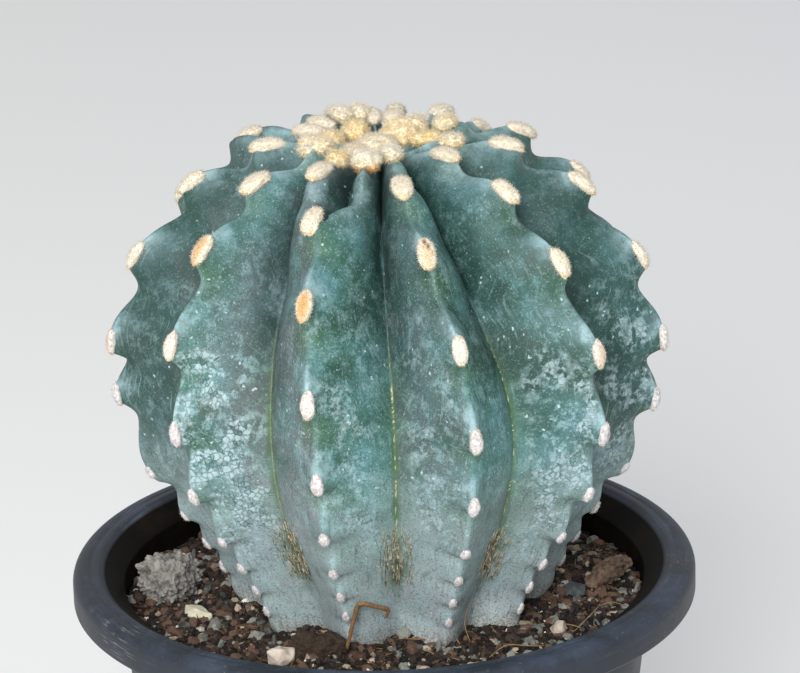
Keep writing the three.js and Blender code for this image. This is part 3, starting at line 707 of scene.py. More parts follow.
def skin_values(rib, side, share, steps, points, arc):
    """The numbers that the skin's material is painted by, each for every row and column."""
    across, from_groove = flank_distances(points)
    from_crest = np.abs(across)
    down = arc + np.zeros_like(across)
    nearest = np.round(steps).astype(int)
    part = (steps - nearest)[:, None]
    along = part * np.gradient(AREOLE_PATH)[nearest][:, None]
    # A painted highlight above each areole, all along the crest near the crown, and along the arms of a fork
    forked = fork_share(rib, side, areole_arc(rib, steps[:, None]))
    saddle = smooth_step(SADDLE_EDGE, (forked - share) / np.maximum(forked, NARROWEST_FORK))
    arm = bell((share - forked) / ARM_REACH) * smooth_step((0.05, 0.2), forked)
    highlights = [
        bell((part - HIGHLIGHT_STEP) / HIGHLIGHT_REACH[0], across / HIGHLIGHT_REACH[1]) * smooth_step(HIGHLIGHT_ZONE, down),
        0.6 * bell(across / CREST_HIGHLIGHT_REACH) * smooth_step(CREST_HIGHLIGHT_ZONE, down),
        0.7 * arm * smooth_step(ARM_HIGHLIGHT_ZONE, down),
    ]
    # Bare of wax by its flank and all round the crown, with painted shade on some flanks, in the upper
    # grooves and in the saddle of a fork
    at_crest, at_groove, unwaxed, blotted = FLANKS[rib, (side > 0).astype(int)].transpose(2, 0, 1)
    bare = unwaxed * smooth_step(BARE_SHADED_FLANK_ZONE, down) + 0.22 * smooth_step(BARE_TOP_ZONE, down)
    in_groove = smooth_step((14, 2), from_groove)
    bare += 0.9 * smooth_step(GROOVE_SHADE_ZONE, down) * in_groove + saddle
    violet = between(at_crest, at_groove, smooth_step((3, 17), from_crest))
    blotted = blotted * smooth_step(BLOT_ZONE, down) * (1 - 0.75 * smooth_step((12, 21), from_crest))
    return {
        "from_crest": from_crest, "from_groove": from_groove, "down": down,
        "areole_halo": bell((along - HALO_DROP) / HALO_REACH, across / HALO_REACH),
        "painted_highlight": np.maximum.reduce(highlights) * (1 - saddle),
        "violet": violet * smooth_step((0.2, 1.4), from_crest),
        "bare": np.clip(bare, 0, 1),
        "blotted": blotted,
    }


def build_stem():
    rib, side, share = (column[None] for column in stem_columns())
    steps = stem_rows()
    share = fork_columns(rib, side, share, steps[:, None])
    points, arc = stem_skin(rib, side, share, steps[:, None])
    rows, columns = arc.shape
    top = (STEM_OFFSET_X, 0, RIM_HEIGHT + CREST_LINE[0, 1])
    tip = (STEM_OFFSET_X, 0, RIM_HEIGHT + CREST_LINE[-1, 1])
    last = (rows - 1) * columns
    turn = [(i, (i + 1) % columns) for i in range(columns)]
    faces = stacked_faces(rows, columns, capped=False)
    faces += [(rows * columns, a, b) for a, b in turn]
    faces += [(rows * columns + 1, last + b, last + a) for a, b in turn]
    stem = make_piece("cactus_stem", [*points.reshape(-1, 3), top, tip], faces, waxy_cactus_skin())
    values = skin_values(rib, side, share, steps, points, arc)
    for name, field in values.items():
        set_values(stem.data, name, np.append(field.ravel(), [field[0].mean(), field[-1].mean()]))
    # Each flank has a lane of its own in the pattern of the streaks, which drifts out as it runs down
    down = values["down"]
    drift = values["from_crest"] - 13 * smooth_step(STREAK_DRIFT_ZONE, down)
    lane = np.stack([drift + 60 * rib + 30 * side, down, np.zeros_like(down)], -1)
    ends = [(0, 0, 0), (0, AREOLE_PATH[-1], 0)]
    set_values(stem.data, "skin", np.concatenate([lane.reshape(-1, 3), ends]))
    return stem, points


# The left and right flank of each rib: how grey-violet at its crest and in its groove, how bare of wax
# and darkened by painted shade, and how blotted
FLANKS = np.array([
    ((0.9, 1.0, 0.0, 0.1), (0.0, 0.1, 0.05, 0.5)),
    ((0.7, 0.9, 0.4, 0.4), (0.0, 0.1, 0.0, 0.3)),
    ((0.25, 0.1, 0.4, 0.7), (0.2, 0.6, 0.5, 0.4)),
    ((0.1, 0.1, 0.95, 0.7), (0.1, 0.4, 0.6, 0.3)),
    ((0.4, 0.6, 0.3, 0.4), (0.1, 0.3, 0.2, 0.5)),
    ((0.3, 0.7, 0.2, 0.3), (0.1, 0.2, 0.3, 0.6)),
    ((0.3, 0.4, 0.2, 0.5), (0.4, 0.6, 0.2, 0.3)),
    ((0.5, 0.7, 0.3, 0.4), (0.1, 0.3, 0.3, 0.5)),
    ((0.1, 0.3, 0.2, 0.6), (0.5, 0.7, 0.3, 0.2)),
    ((0.3, 0.5, 0.8, 0.3), (0.4, 0.8, 1.0, 0.2)),
    ((0.1, 0.4, 0.3, 0.4), (0.1, 1.0, 0.12, 1.0)),
])
stem, stem_points = build_stem()
lump(stem, SKIN_LUMPS)
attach(stem, "root")
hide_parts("stem")

# The groove fibres
# Old skin has split at the foot of each groove, and short straw-coloured fibres of cork lie on it
# in a loose tuft, all along the groove's direction.
FIBRES_PER_FLANK = 60
FIBRE_LIFT = 0.12
FIBRE_RADIUS = 0.1
FIBRE_ZONE = (135, 151)
FIBRE_LENGTH = (2.5, 7)
FIBRE_TILT = 0.04
# How far from the groove they reach, as a share of the flank
FIBRE_REACH = 0.3


def dull_finish(name, grain, relief, stops, shine, layers=(), stored=()):
    """A dull material whose tones go by its grain, with layers over them. The grain is its size in mm,
    detail and roughness, the relief its strength and height in mm, and the shine the shader's own."""
    material, tree, shader, place = new_material(name)
    size, detail, roughness = grain
    strength, height = relief
    fields = make_fields(tree, [("grain", place, 1 / (size * MM), detail, roughness)], stored)
    bump = {"Height": fields["grain"], "Strength": strength, "Distance": height * MM}
    ground = add(tree, "ValToRGB", fields["grain"], stops=stops)
    colour = painted(tree, fields, ground, layers)
    feed(shader, {"Base Color": colour, "Normal": add(tree, "Bump", bump), **shine})
    return material


def groove_fibres(finish):
    """Thin spindles that lie on the skin at the feet of the grooves, each with three sides."""
    chance = np.random.default_rng(3)
    count = RIB_COUNT * 2 * FIBRES_PER_FLANK
    rib = np.repeat(np.arange(RIB_COUNT), 2 * FIBRES_PER_FLANK)
    side = np.tile(np.repeat([-1, 1], FIBRES_PER_FLANK), RIB_COUNT)
    middle = chance.uniform(*FIBRE_ZONE, count)
    length = chance.uniform(*FIBRE_LENGTH, count)
    share = 1 - FIBRE_REACH * chance.random(count) ** 1.3
    tilt = chance.normal(0, FIBRE_TILT, count)
    rows = []
    for part in (-0.5, 0, 0.5):
        step = np.interp(middle + part * length, AREOLE_PATH, np.arange(len(AREOLE_PATH)))
        rows.append(np.array([
            stem_skin(*(np.array([value]) for value in (r, s, min(1, u), at)))[0][0]
            for r, s, u, at in zip(rib, side, share + part * tilt, step)
        ]))
    outwards = rows[1] - (STEM_OFFSET_X, 0, 0)
    outwards[:, 2] = 0
    outwards /= np.linalg.norm(outwards, axis=1, keepdims=True)
    first, waist, last = (row + FIBRE_LIFT * outwards for row in rows)
    sideways = np.cross(last - first, outwards)
    sideways /= np.linalg.norm(sideways, axis=1, keepdims=True)
    turns = np.radians([90, 210, 330])
    ring = [waist + FIBRE_RADIUS * (outwards * (math.sin(a) + 1) + sideways * math.cos(a)) for a in turns]
    points = np.stack([first, *ring, last], 1).reshape(-1, 3)
    spindle = [(0, 1, 2), (0, 2, 3), (0, 3, 1), (4, 2, 1), (4, 3, 2), (4, 1, 3)]
    faces = [tuple(5 * i + corner for corner in face) for i in range(count) for face in spindle]
    return make_piece("groove_fibres", points, faces, finish)


# Dry cork fibre: straw with browner stretches
straw_cork = dull_finish(
    "straw_cork", (0.8, 3, 0.5), (0.5, 0.1), [(0.4, "#7b725b"), (0.6, "#c3baa0")], {"Roughness": 0.95},
)
fibres = groove_fibres(straw_cork)
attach(fibres, "root")
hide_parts("stem")

# The soil
# A free-draining cactus mix: dark humus with lava and quartz grit. It fills the pot to about
# 9 mm below the rim and closes round the stem's foot. This piece is the body of it, and the grit
# that lies on it follows further down.
SOIL_DROP_AT_STEM = 8.4
SOIL_DROP_AT_WALL = 10.6
SOIL_DROP_ZONE = (34, 58)
# A wave's height, length and shift, a ripple's height and length, a mound's x, y, height and reach
SOIL_WAVE = (0.7, 35, 1)
SOIL_RIPPLE = (0.4, 16)
SOIL_MOUND = (-17, -38, 3, 9)
SOIL_GAP = 0.4
SOIL_RINGS = 34
# The outermost rings, where the crumbs die away so that they clear the wall
SOIL_CALM_RINGS = 4
# Each size of crumb: its width and height in mm
SOIL_CRUMBS = ((6, 0.9), (2.2, 0.7), (0.9, 0.35))


def soil_height(x, y):
    """The height of the soil's surface above the pot's foot, before its crumbs."""
    height, length, shift = SOIL_WAVE
    wave = height * np.sin(2 * math.pi * x / length + shift) * np.cos(2 * math.pi * y / length)
    ripple = SOIL_RIPPLE[0] * np.sin(2 * math.pi * (x + y) / SOIL_RIPPLE[1])
    mound_x, mound_y, rise, reach = SOIL_MOUND
    mound = rise * np.exp(-((x - mound_x) ** 2 + (y - mound_y) ** 2) / reach**2)
    at_wall = smooth_step(SOIL_DROP_ZONE, np.hypot(x, y))
    return RIM_HEIGHT - between(SOIL_DROP_AT_STEM, SOIL_DROP_AT_WALL, at_wall) + wave + ripple + mound


def stem_foot():
    """The stem's outline where it enters the soil, as points in mm."""
    buried = stem_points[-40:]
    outline = []
    for column in range(buried.shape[1]):
        line = buried[::-1, column]
        height = RIM_HEIGHT - SOIL_DROP_AT_STEM
        for _ in range(3):
            place = np.array([np.interp(height, line[:, 2], line[:, axis]) for axis in range(3)])
            height = soil_height(place[0], place[1])
        outline.append(place)
    return np.array(outline)


def build_soil(finish):
    foot = stem_foot()
    columns = len(foot)
    outward = foot - (STEM_OFFSET_X, 0, 0)
    outward[:, 2] = 0
    outward /= np.linalg.norm(outward, axis=1, keepdims=True)
    inner = foot + outward * SOIL_GAP
    azimuth = np.degrees(np.arctan2(inner[:, 0], -inner[:, 1]))
    neck = RIM_HEIGHT - NECK_DROP
    floor = FOOT_HEIGHT + FLOOR_THICKNESS

    def wall(height):
        return between(BASE_RADIUS, NECK_RADIUS, height / neck) - WALL - SOIL_GAP

    outer = polar(wall(neck - SMALL_EDGE), azimuth, 0.0)
    root = RIM_HEIGHT + CREST_LINE[-1, 1] - SOIL_GAP
    rings = [inner * (1, 1, 0) + (0, 0, root)]
    for i in range(SOIL_RINGS + 1):
        ring = between(inner, outer, i / SOIL_RINGS)
        ring[:, 2] = soil_height(ring[:, 0], ring[:, 1])
        calm = min(1, (SOIL_RINGS - i) / SOIL_CALM_RINGS)
        ring[:, 2] += [
            calm * sum(high * noise.noise(Vector(at) / wide) for wide, high in SOIL_CRUMBS) for at in ring
        ]
        rings.append(ring)
    rings.append(polar(wall(floor), azimuth, floor + SOIL_GAP))
    points = np.concatenate(rings)
    faces = stacked_faces(len(rings), columns)
    surface = faces[columns:columns * (SOIL_RINGS + 1)]
    return make_piece("potting_soil", points, faces, finish), points, surface


# Dark brown humus, nearly black where it is damp, with lighter fibres and dust
damp_potting_mix = dull_finish(
    "damp_potting_mix", (3, 8, 0.75), (0.9, 0.8), [(0.36, "#080706"), (0.52, "#1b1512"), (0.66, "#3a2d25")],
    {"Roughness": 0.92},
)
soil, soil_points, soil_surface = build_soil(damp_potting_mix)
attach(soil, "root")
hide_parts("soil")

# The areoles
# Each crest swells to a cushion of short cream felt, held tight by the skin round it. The pads are
# long along the rib, wide and thick in the crown, small and bleached near the soil.
# Each row: distance along the crest, and a pad's width, length and thickness there
PAD_SIZES = np.array([
    (30, 4.6, 8.4, 3.0), (67, 3.6, 7.3, 2.5), (109, 2.8, 5.8, 1.9), (128, 2.4, 3.5, 1.5),
    (146, 1.9, 3.6, 1.2), (166, 1.5, 3.4, 1.1),
])
PAD_ZONE = (30, 125)
PAD_NARROWING = 0.35
PAD_BLUNTNESS = 2.25
PAD_SINK = 0.32
PAD_DRAPE = 0.3
PAD_CLIMB = 0.1
PAD_KNOBS = (0.14, 0.08)
YOUNG_ZONE = (60, 105)
LOWEST_PAD = -6.4
WOOL_REACH = 22
LAST_YOUNG_ARC = 75
# The arm of the front rib's fork, as rib and side, that ends in a clump of wool and has no pad
WOOLLY_ARM = (0, 1)
HAIR_CORNERS = 3
HAIR_RADIUS = 0.06
# Areoles whose felt is stained amber, by rib and step, and how strongly
AMBER_AREOLES = {(0, 4): 0.8, (10, 3): 0.65, (9, 5): 0.5, (1, 3): 0.35, (2, 4): 0.3}
# Small dark spots in the felt, as places across and along the pad
DARK_SPOTS = {(1, 3): ((-0.1, 0.62), (0.2, 0.3)), (2, 5): ((0.1, 0.1),)}


def ball(splits):
    """Points and faces of a ball of radius 1, split evenly."""
    form = bmesh.new()
    bmesh.ops.create_icosphere(form, subdivisions=splits, radius=1)
    points = np.array([tuple(v.co) for v in form.verts])
    faces = [[v.index for v in face.verts] for face in form.faces]
    form.free()
    return points, faces


def knobs(points, body, coarse, fine):
    """How far noise lifts the points of a ball, each body with noise of its own."""
    shift = Vector((body * 7.3, body * 3.1, 0))
    return np.array([
        coarse * noise.noise(Vector(point) * 2 + shift) + fine * noise.noise(Vector(point) * 5.5 - shift)
        for point in points
    ])


def joined(name, bodies, faces, values, finish):
    """One piece from many bodies with the same faces, and values stored for its points."""
    all_faces = [
        [i + number * len(body) for i in face] for number, body in enumerate(bodies) for face in faces
    ]
    piece = make_piece(name, np.concatenate(bodies), all_faces, finish)
    for value, each in values.items():
        set_values(piece.data, value, np.concatenate(each))
    return piece


def areole_frame(rib, side, step):
    """Where an areole sits, its directions across, up the rib and outwards, and its path down the rib."""
    seat_step = step - PAD_CLIMB
    arc = areole_arc(rib, seat_step)
    share = fork_share(rib, side, arc)
    azimuth = between(crest_azimuth(rib, arc), groove_azimuth(rib, side, arc), share)
    slope = slope_at(place_at(np.array([arc])))[0]
    up_rib = polar(-slope[0], azimuth, -slope[1])
    outwards = polar(-slope[1], azimuth, slope[0])
    seat = [np.array([value]) for value in (rib, side, share, seat_step)]
    return stem_skin(*seat)[0][0], np.cross(up_rib, outwards), up_rib, outwards, arc


def areoles():
    """Every areole from the wool down to the soil: its rib, step and frame."""
    found = []
    for rib in range(RIB_COUNT):
        for step in range(1, LAST_AREOLE + 1):
            arc = areole_arc(rib, step)
            if arc > WOOL_REACH and spline(CREST_LINE, place_at(np.array([arc])))[0, 1] > LOWEST_PAD:
                sides = (-1, 1) if FORK[rib] > 0 and arc < FORK_ZONE[0] else (-1,)
                sides = [side for side in sides if (rib, side) != WOOLLY_ARM]
                found.extend((rib, step, areole_frame(rib, side, step)) for side in sides)
    return found


def build_areoles(name, areoles_here, finish):
    points, faces = ball(4)
    x, y, z = points.T
    blunt = points / (np.abs(points) ** PAD_BLUNTNESS).sum(1, keepdims=True) ** (1 / PAD_BLUNTNESS)
    bodies, values = [], {"young": [], "yellow_rim": [], "amber": [], "dark": []}
    for number, (rib, step, (middle, across, up_rib, outwards, arc)) in enumerate(areoles_here):
        half = np.array([np.interp(arc, PAD_SIZES[:, 0], size) for size in PAD_SIZES.T[1:]]) / 2
        narrow = 1 - PAD_NARROWING * smooth_step(PAD_ZONE, arc) * np.clip(y, 0, 1)
        local = blunt * half * (1 + knobs(points, number + step, *PAD_KNOBS))[:, None]
        local[:, 0] *= narrow
        local[:, 2] -= PAD_SINK * half[2] + PAD_DRAPE * half[2] * y**2
        bodies.append(middle + local @ np.array([across, up_rib, outwards]))
        values["young"].append(np.full(len(points), 1 - smooth_step(YOUNG_ZONE, arc)))
        values["yellow_rim"].append(0.5 * smooth_step((0.5, 0.95), -y) * (1 - smooth_step((0.2, 0.7), z)))
        stain = smooth_step((1.1, 0.45), np.hypot(1.2 * x, 0.9 * y + 0.1)) * (z > -0.2)
        values["amber"].append(AMBER_AREOLES.get((rib, step), 0) * stain)
        spots = np.zeros(len(points))
        for spot_x, spot_y in DARK_SPOTS.get((rib, step), ()):
            spots += np.exp(-((x - spot_x) ** 2 + (y - spot_y) ** 2) / 0.03) * (z > 0)
        values["dark"].append(np.minimum(spots, 1))
    return joined(name, bodies, faces, values, finish)


def hair_form(length, radius, finish):
    """One pointed hair, closed at its foot, that a scatter repeats: only four faces, as it is so fine."""
    foot = [polar(radius, -360 * i / HAIR_CORNERS, 0.0) for i in range(HAIR_CORNERS)]
    tip = (0.3 * length, 0.1 * length, length)
    sides = [(HAIR_CORNERS, (i + 1) % HAIR_CORNERS, i) for i in range(HAIR_CORNERS)]
    return make_piece("hair_form", [*foot, tip], [tuple(range(HAIR_CORNERS)), *sides], finish)


def scatter_tree(name, inputs):
    """An empty scatter tree with named inputs, and the sockets of those inputs."""
    tree = bpy.data.node_groups.new(name, "GeometryNodeTree")
    for label, kind in {"Geometry": "Geometry", **inputs, "Finish": "Material", "Seed": "Int"}.items():
        tree.interface.new_socket(label, in_out="INPUT", socket_type=f"NodeSocket{kind}")
    tree.interface.new_socket("Geometry", in_out="OUTPUT", socket_type="NodeSocketGeometry")
    return tree, add(tree, "NodeGroupInput", out=None).outputs


def finish_scatter(tree, given, geometry):
    """Ends a scatter tree: instances become mesh and take their finish."""
    loose = add(tree, "GeometryNodeRealizeInstances", geometry)
    coated = add(tree, "GeometryNodeSetMaterial", {"Geometry": loose, "Material": given["Finish"]})
    add(tree, "NodeGroupOutput", coated, out=None)


def chance_places(tree, given, per_mm2):
    """Points by chance over a surface, so many per square mm, each with a rotation that is spun by
    chance and leant over by up to an angle."""
    density = add(tree, "Math", given[per_mm2], 1 / MM**2, operation="MULTIPLY")
    inputs = {"Mesh": given["Geometry"], "Density": density, "Seed": given["Seed"]}
    places = add(tree, "GeometryNodeDistributePointsOnFaces", inputs, out=None).outputs
    spin = add(tree, "FunctionNodeRandomValue", {3: 2 * math.pi, "Seed": given["Seed"]}, out=1)
    leaning = add(tree, "FunctionNodeRandomValue", {3: given["Lean"], "Seed": given["Seed"]}, out=1)
    turn = add(tree, "FunctionNodeEulerToRotation", add(tree, "CombineXYZ", {"X": leaning, "Z": spin}))
    inputs = {"Rotation": places["Rotation"], "Rotate By": turn}
    return places["Points"], add(tree, "FunctionNodeRotateRotation", inputs, rotation_space="LOCAL")


def planted_hairs():
    """Plants hairs all over a piece, which stays under them."""
    tree, given = scatter_tree("planted_hairs", {
        "Hair": "Object", "Hairs per mm2": "Float", "Shortest": "Float", "Lean": "Float",
    })
    points, turned = chance_places(tree, given, "Hairs per mm2")
    size = add(tree, "FunctionNodeRandomValue", {2: given["Shortest"], 3: 1.0}, out=1)
    inputs = {"Object": given["Hair"], "As Instance": True}
    hair = add(tree, "GeometryNodeObjectInfo", inputs, out="Geometry")
    inputs = {"Points": points, "Instance": hair, "Rotation": turned, "Scale": size}
    hairs = add(tree, "GeometryNodeInstanceOnPoints", inputs)
    whole = add(tree, "GeometryNodeJoinGeometry", hairs, out=None)
    feed(whole, {0: given["Geometry"]})
    finish_scatter(tree, given, whole.outputs[0])
    return tree


def scatter(piece, tree, values):
    """Runs a scatter tree on a piece and keeps the result as its mesh."""
    modifier = piece.modifiers.new(tree.name, "NODES")
    modifier.node_group = tree
    for item in tree.interface.items_tree:
        if item.in_out == "INPUT" and item.name in values:
            modifier[item.identifier] = values[item.name]
    return settle(piece)


# Wool felt: cream when young, yellow at its lower rim, bleached white low on the stem
felt = dull_finish(
    "areole_felt", (0.7, 4, 0.7), (0.8, 0.25), [(0.34, "#a39e9b"), (0.56, "#dad6d6")],
    {"Roughness": 1, "Sheen Weight": 0.3, "Specular IOR Level": 0.1},
    [
        ([(0.32, "#c9ba97"), (0.54, "#e7decd")], 1, ("young",)), ("#cdb47c", 1, ("yellow_rim",)),
        ("#d39b4c", 1, ("amber",)), ("#3b2416", 1, ("dark",)),
    ],
    ("young", "yellow_rim", "amber", "dark"),
)
hair_scatter = planted_hairs()
every_areole = areoles()
# The areoles of each age, and the length and number per square mm of their hairs
AGES = {
    "young_areole_pads": ([a for a in every_areole if a[2][4] < LAST_YOUNG_ARC], 0.8, 9.0),
    "old_areole_pads": ([a for a in every_areole if a[2][4] >= LAST_YOUNG_ARC], 0.5, 9.0),
}
for pads_name, (areoles_here, hair_length, hairs_per_mm2) in AGES.items():
    pads = build_areoles(pads_name, areoles_here, felt)
    felt_hair = hair_form(hair_length, HAIR_RADIUS, felt)
    scatter(pads, hair_scatter, {
        "Hair": felt_hair, "Hairs per mm2": hairs_per_mm2, "Shortest": 0.4, "Lean": 0.7, "Finish": felt,
        "Seed": 4,
    })
    bpy.data.objects.remove(felt_hair)
    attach(pads, "root")
    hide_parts("stem")

# The crown wool
# The youngest areoles are grown together round the sunken middle: loose golden wool in rounded
# clumps that lie on the innermost crests, some bleached pale and one low at the front.
# Each clump: place as x, y and height above the rim, half sizes, how golden and how bleached
WOOL_CLUMPS = (
    ((-4.1, 7.8, 103.4), (3.0, 2.9, 2.6), 0.8, 0.1),
    ((-9.8, 1.6, 102.9), (3.2, 2.6, 2.3), 0.75, 0.1),
    ((-13.6, -2.4, 102.3), (3.6, 2.2, 1.8), 0.35, 0.7),
    ((0.8, 2.4, 101.4), (4.4, 3.4, 2.6), 0.3, 0.3),
    ((6.3, 6.8, 103.0), (4.2, 3.4, 3.3), 0.6, 0.1),
    ((9.4, 8.6, 103.6), (3.2, 2.6, 2.8), 0.45, 0.2),
    ((12.6, 2.8, 102.8), (4.0, 1.8, 1.6), 0.85, 0.1),
    ((4.2, -6.2, 101.6), (2.6, 2.0, 1.9), 0.5, 0.3),
    ((-4.5, -2.0, 101.0), (3.4, 3.0, 2.0), 0.4, 0.3),
)
INNERMOST_HALF = (2.2, 2.7, 1.7)
WOOLLY_ARM_HALF = (3.0, 3.2, 2.3)
INNERMOST_ARC = 17
WOOLLY_ARM_ARC = 19.5
WOOL_KNOBS = (0.28, 0.12)
WOOL_LIFT = 0.8
WOOL_HAIR_LENGTH = 1.4


def innermost_clumps():
    """The wool at the inner end of each crest: place, half sizes, tints and directions of each clump."""
    found = []
    steps = np.linspace(0.5, 2.5, 200)
    for rib in range(RIB_COUNT):
        for side in ((-1, 1) if FORK[rib] > 0 else (-1,)):
            woolly = (rib, side) == WOOLLY_ARM
            if areole_arc(rib, 1) < WOOL_REACH:
                step = np.interp(WOOLLY_ARM_ARC if woolly else INNERMOST_ARC, areole_arc(rib, steps), steps)
                middle, across, up_rib, outwards, arc = areole_frame(rib, side, step + PAD_CLIMB)
                middle = middle + WOOL_LIFT * outwards - (0, 0, RIM_HEIGHT)
                tints = (0.35, 0.6) if woolly else (0.3 + 0.4 * (rib % 3 == 0), 0.5 * (rib % 2))
                half = WOOLLY_ARM_HALF if woolly else INNERMOST_HALF
                turned = np.array([across, up_rib, outwards])
                found.append((middle, half, *tints, 0.9 * woolly, turned))
    return found


def build_wool(finish):
    points, faces = ball(4)
    bodies, values = [], {"gold": [], "bleached": [], "amber": []}
    clumps = [(*clump, 0.0, np.eye(3)) for clump in WOOL_CLUMPS] + innermost_clumps()
    for number, (middle, half, golden, faded, stained, turned) in enumerate(clumps):
        stretch = half * (1 + knobs(points, number, *WOOL_KNOBS))[:, None]
        bodies.append((points * stretch) @ turned + middle + (0, 0, RIM_HEIGHT))
        height = (points @ turned)[:, 2]
        values["gold"].append(np.clip(golden + 0.5 * smooth_step((0.2, 0.9), -height), 0, 1))
        values["bleached"].append(faded * smooth_step((-0.2, 0.7), height))
        values["amber"].append(stained * smooth_step((-0.1, 0.5), -height))
    return joined("crown_wool_clumps", bodies, faces, values, finish)


# Fine curled wool: golden at the bottom of a clump, straw and cream at its ends, and some bleached
wool_finish = dull_finish(
    "golden_wool", (1.1, 5, 0.7), (0.4, 0.4), [(0.32, "#e2d1ab"), (0.56, "#f8f2e2")],
    {"Roughness": 1, "Sheen Weight": 0.35, "Specular IOR Level": 0.1},
    [
        ([(0.3, "#eec679"), (0.48, "#f7dc9b"), (0.64, "#fdf2cf")], 1, ("gold",)),
        ("#efece4", 1, ("bleached",)), ("#d59b4e", 1, ("amber",)),
    ],
    ("gold", "bleached", "amber"),
)
wool = build_wool(wool_finish)
wool_hair = hair_form(WOOL_HAIR_LENGTH, HAIR_RADIUS, wool_finish)
scatter(wool, hair_scatter, {
    "Hair": wool_hair, "Hairs per mm2": 20.0, "Shortest": 0.35, "Lean": 1.1, "Finish": wool_finish,
    "Seed": 9,
})
bpy.data.objects.remove(wool_hair)
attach(wool, "root")
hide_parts("crown_wool")

# The loose stones
# A grey porous pumice at the left, pale flints, pebbles and a chip of bark lie loose on the soil,
# each with its own break and wear. Their hollows are painted darker, for dirt and as painted shade.
HOLLOW_SHADE = 0.12


def stone_finish(name, dark, light, roughness=0.85, grain_size=1.3, relief=0.3):
    """Broken stone: two tones in patches of a mm size, each piece a shade of its own, dull faces."""
    material, tree, shader, place = new_material(name)
    fields = make_fields(tree, [("grain", place, 1 / (grain_size * MM), 6, 0.7)], ("shade",))
    tone = add(tree, "Math", fields["grain"], fields["shade"], operation="ADD")
    inputs = {"Factor": add(tree, "MapRange", tone, 0.6, 1.35), 6: linear(dark), 7: linear(light)}
    bump = {"Height": fields["grain"], "Strength": 0.7, "Distance": relief * MM}
    feed(shader, {
        "Base Color": add(tree, "Mix", inputs, out=2, data_type="RGBA"), "Roughness": roughness,
        "Specular IOR Level": 0.3, "Normal": add(tree, "Bump", bump),
    })
    return material


def worn_copy(name, node, finish, levels, rounding, lumps, shade=0.5):
    """A loose piece made from its CAD form: split finely, corners worn round, faces broken up."""
    form = bmesh.new()
    form.from_mesh(frame["nodes"][node].data)
    bmesh.ops.remove_doubles(form, verts=form.verts, dist=WELD_REACH * MM)
    mesh = bpy.data.meshes.new(name)
    form.to_mesh(mesh)
    form.free()
    mesh.materials.append(finish)
    stone = bpy.data.objects.new(name, mesh)
    bpy.context.scene.collection.objects.link(stone)
    split = stone.modifiers.new("split", "SUBSURF")
    split.subdivision_type = "SIMPLE"
    split.levels = split.render_levels = levels
    worn = stone.modifiers.new("worn", "SMOOTH")
    worn.iterations = rounding
    worn.factor = 0.5
    settle(stone)
    stone.data.shade_smooth()
    rise = lump(stone, lumps, shift=len(name))
    # Hollows take a darker shade of the finish: dirt, and painted shade in the pores
    set_values(stone.data, "shade", shade + HOLLOW_SHADE * (rise - rise.mean()) / rise.std())
    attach(stone, "root")
    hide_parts(node)
    return stone


# Pumice: matt ash grey, nearly black in its pores
pumice = stone_finish("grey_pumice", "#272523", "#a8a49e", 0.95, 0.8, 1.2)
# Flint: cream to olive, with a dim gloss
flint = stone_finish("pale_flint", "#8e8a74", "#cfc9b2", 0.6)
# Chalky stone: pale buff, dull
pale_stone = stone_finish("pale_chalky_stone", "#97897b", "#d3c7b8", 0.8)
# Slate: blue-grey, the glossiest of the stones
dark_stone = stone_finish("dark_slate", "#23282a", "#4d5557", 0.55)
# Bark: crumbly red-brown, dull
bark = stone_finish("rotten_bark", "#1f1713", "#7d6857", 0.9, 1.2, 0.9)
pores = ((4.5, 0.9), (2.4, -1.0, "VORONOI_F1"), (1.1, -0.7, "VORONOI_F1"), (0.6, 0.35))
worn_copy("pumice", "pumice_stone", pumice, 4, 14, pores, 0.55)
worn_copy("flint", "flint_stone", flint, 4, 6, ((3, 0.4), (1, 0.1)), 0.65)
worn_copy("pale_wedge", "wedge_stone", pale_stone, 4, 6, ((3, 0.5), (1, 0.12)), 0.6)
worn_copy("bark_piece", "bark_chip", bark, 4, 8, ((4, 0.6), (1.2, 0.4), (0.5, 0.15)))
worn_copy("dark_round_pebble", "dark_pebble", dark_stone, 4, 12, ((3, 0.4), (1, 0.08)))
worn_copy("small_pale_pebble", "pale_pebble", pale_stone, 4, 8, ((2, 0.3), (0.8, 0.08)), 0.45)

# The grit
# Lava, quartz, slate, humus crumbs and bits of bark from 0.5 to 6 mm lie over the soil, half
# pressed in, as they come in a cactus mix.
GRAIN_SHAPES = ((1.0, 0.78, 0.62), (1.0, 0.6, 0.5), (1.0, 0.9, 0.75), (0.85, 1.0, 0.4))
SPLINTER_SHAPES = ((1.0, 0.42, 0.22), (1.0, 0.3, 0.26), (1.0, 0.5, 0.2), (1.0, 0.22, 0.16))
FIBRE_SHAPES = ((1.0, 0.045, 0.04), (1.0, 0.06, 0.04))
GRAIN_UNEVENNESS = 0.28
SMALL_GRAINS_MORE = 2.2
# Each kind: name, dark and light tone, grains per square cm, smallest and largest size in mm,
# shapes, how often a grain's faces are split, and how far grains lean
GRIT_KINDS = (
    ("humus_crumbs", "#080605", "#3a302a", 105, (0.5, 2.1), GRAIN_SHAPES, 1, 3.1),
    ("lava_grit", "#17100e", "#654d40", 12, (1.0, 3.8), GRAIN_SHAPES, 2, 3.1),
    ("slate_grit", "#121516", "#86877f", 7, (1.0, 4.4), GRAIN_SHAPES, 2, 1.4),
    ("tan_grit", "#40342a", "#b5a48d", 5, (0.8, 3.4), GRAIN_SHAPES, 2, 3.1),
    ("quartz_grit", "#857d74", "#e2ddd4", 2.0, (0.8, 2.6), GRAIN_SHAPES, 2, 3.1),
    ("bark_crumbs", "#130d0a", "#5d4a3a", 12, (1.4, 6.0), SPLINTER_SHAPES, 2, 0.6),
    ("root_fibres", "#3a2617", "#94734c", 6, (3.0, 9.0), FIBRE_SHAPES, 1, 0.25),
)


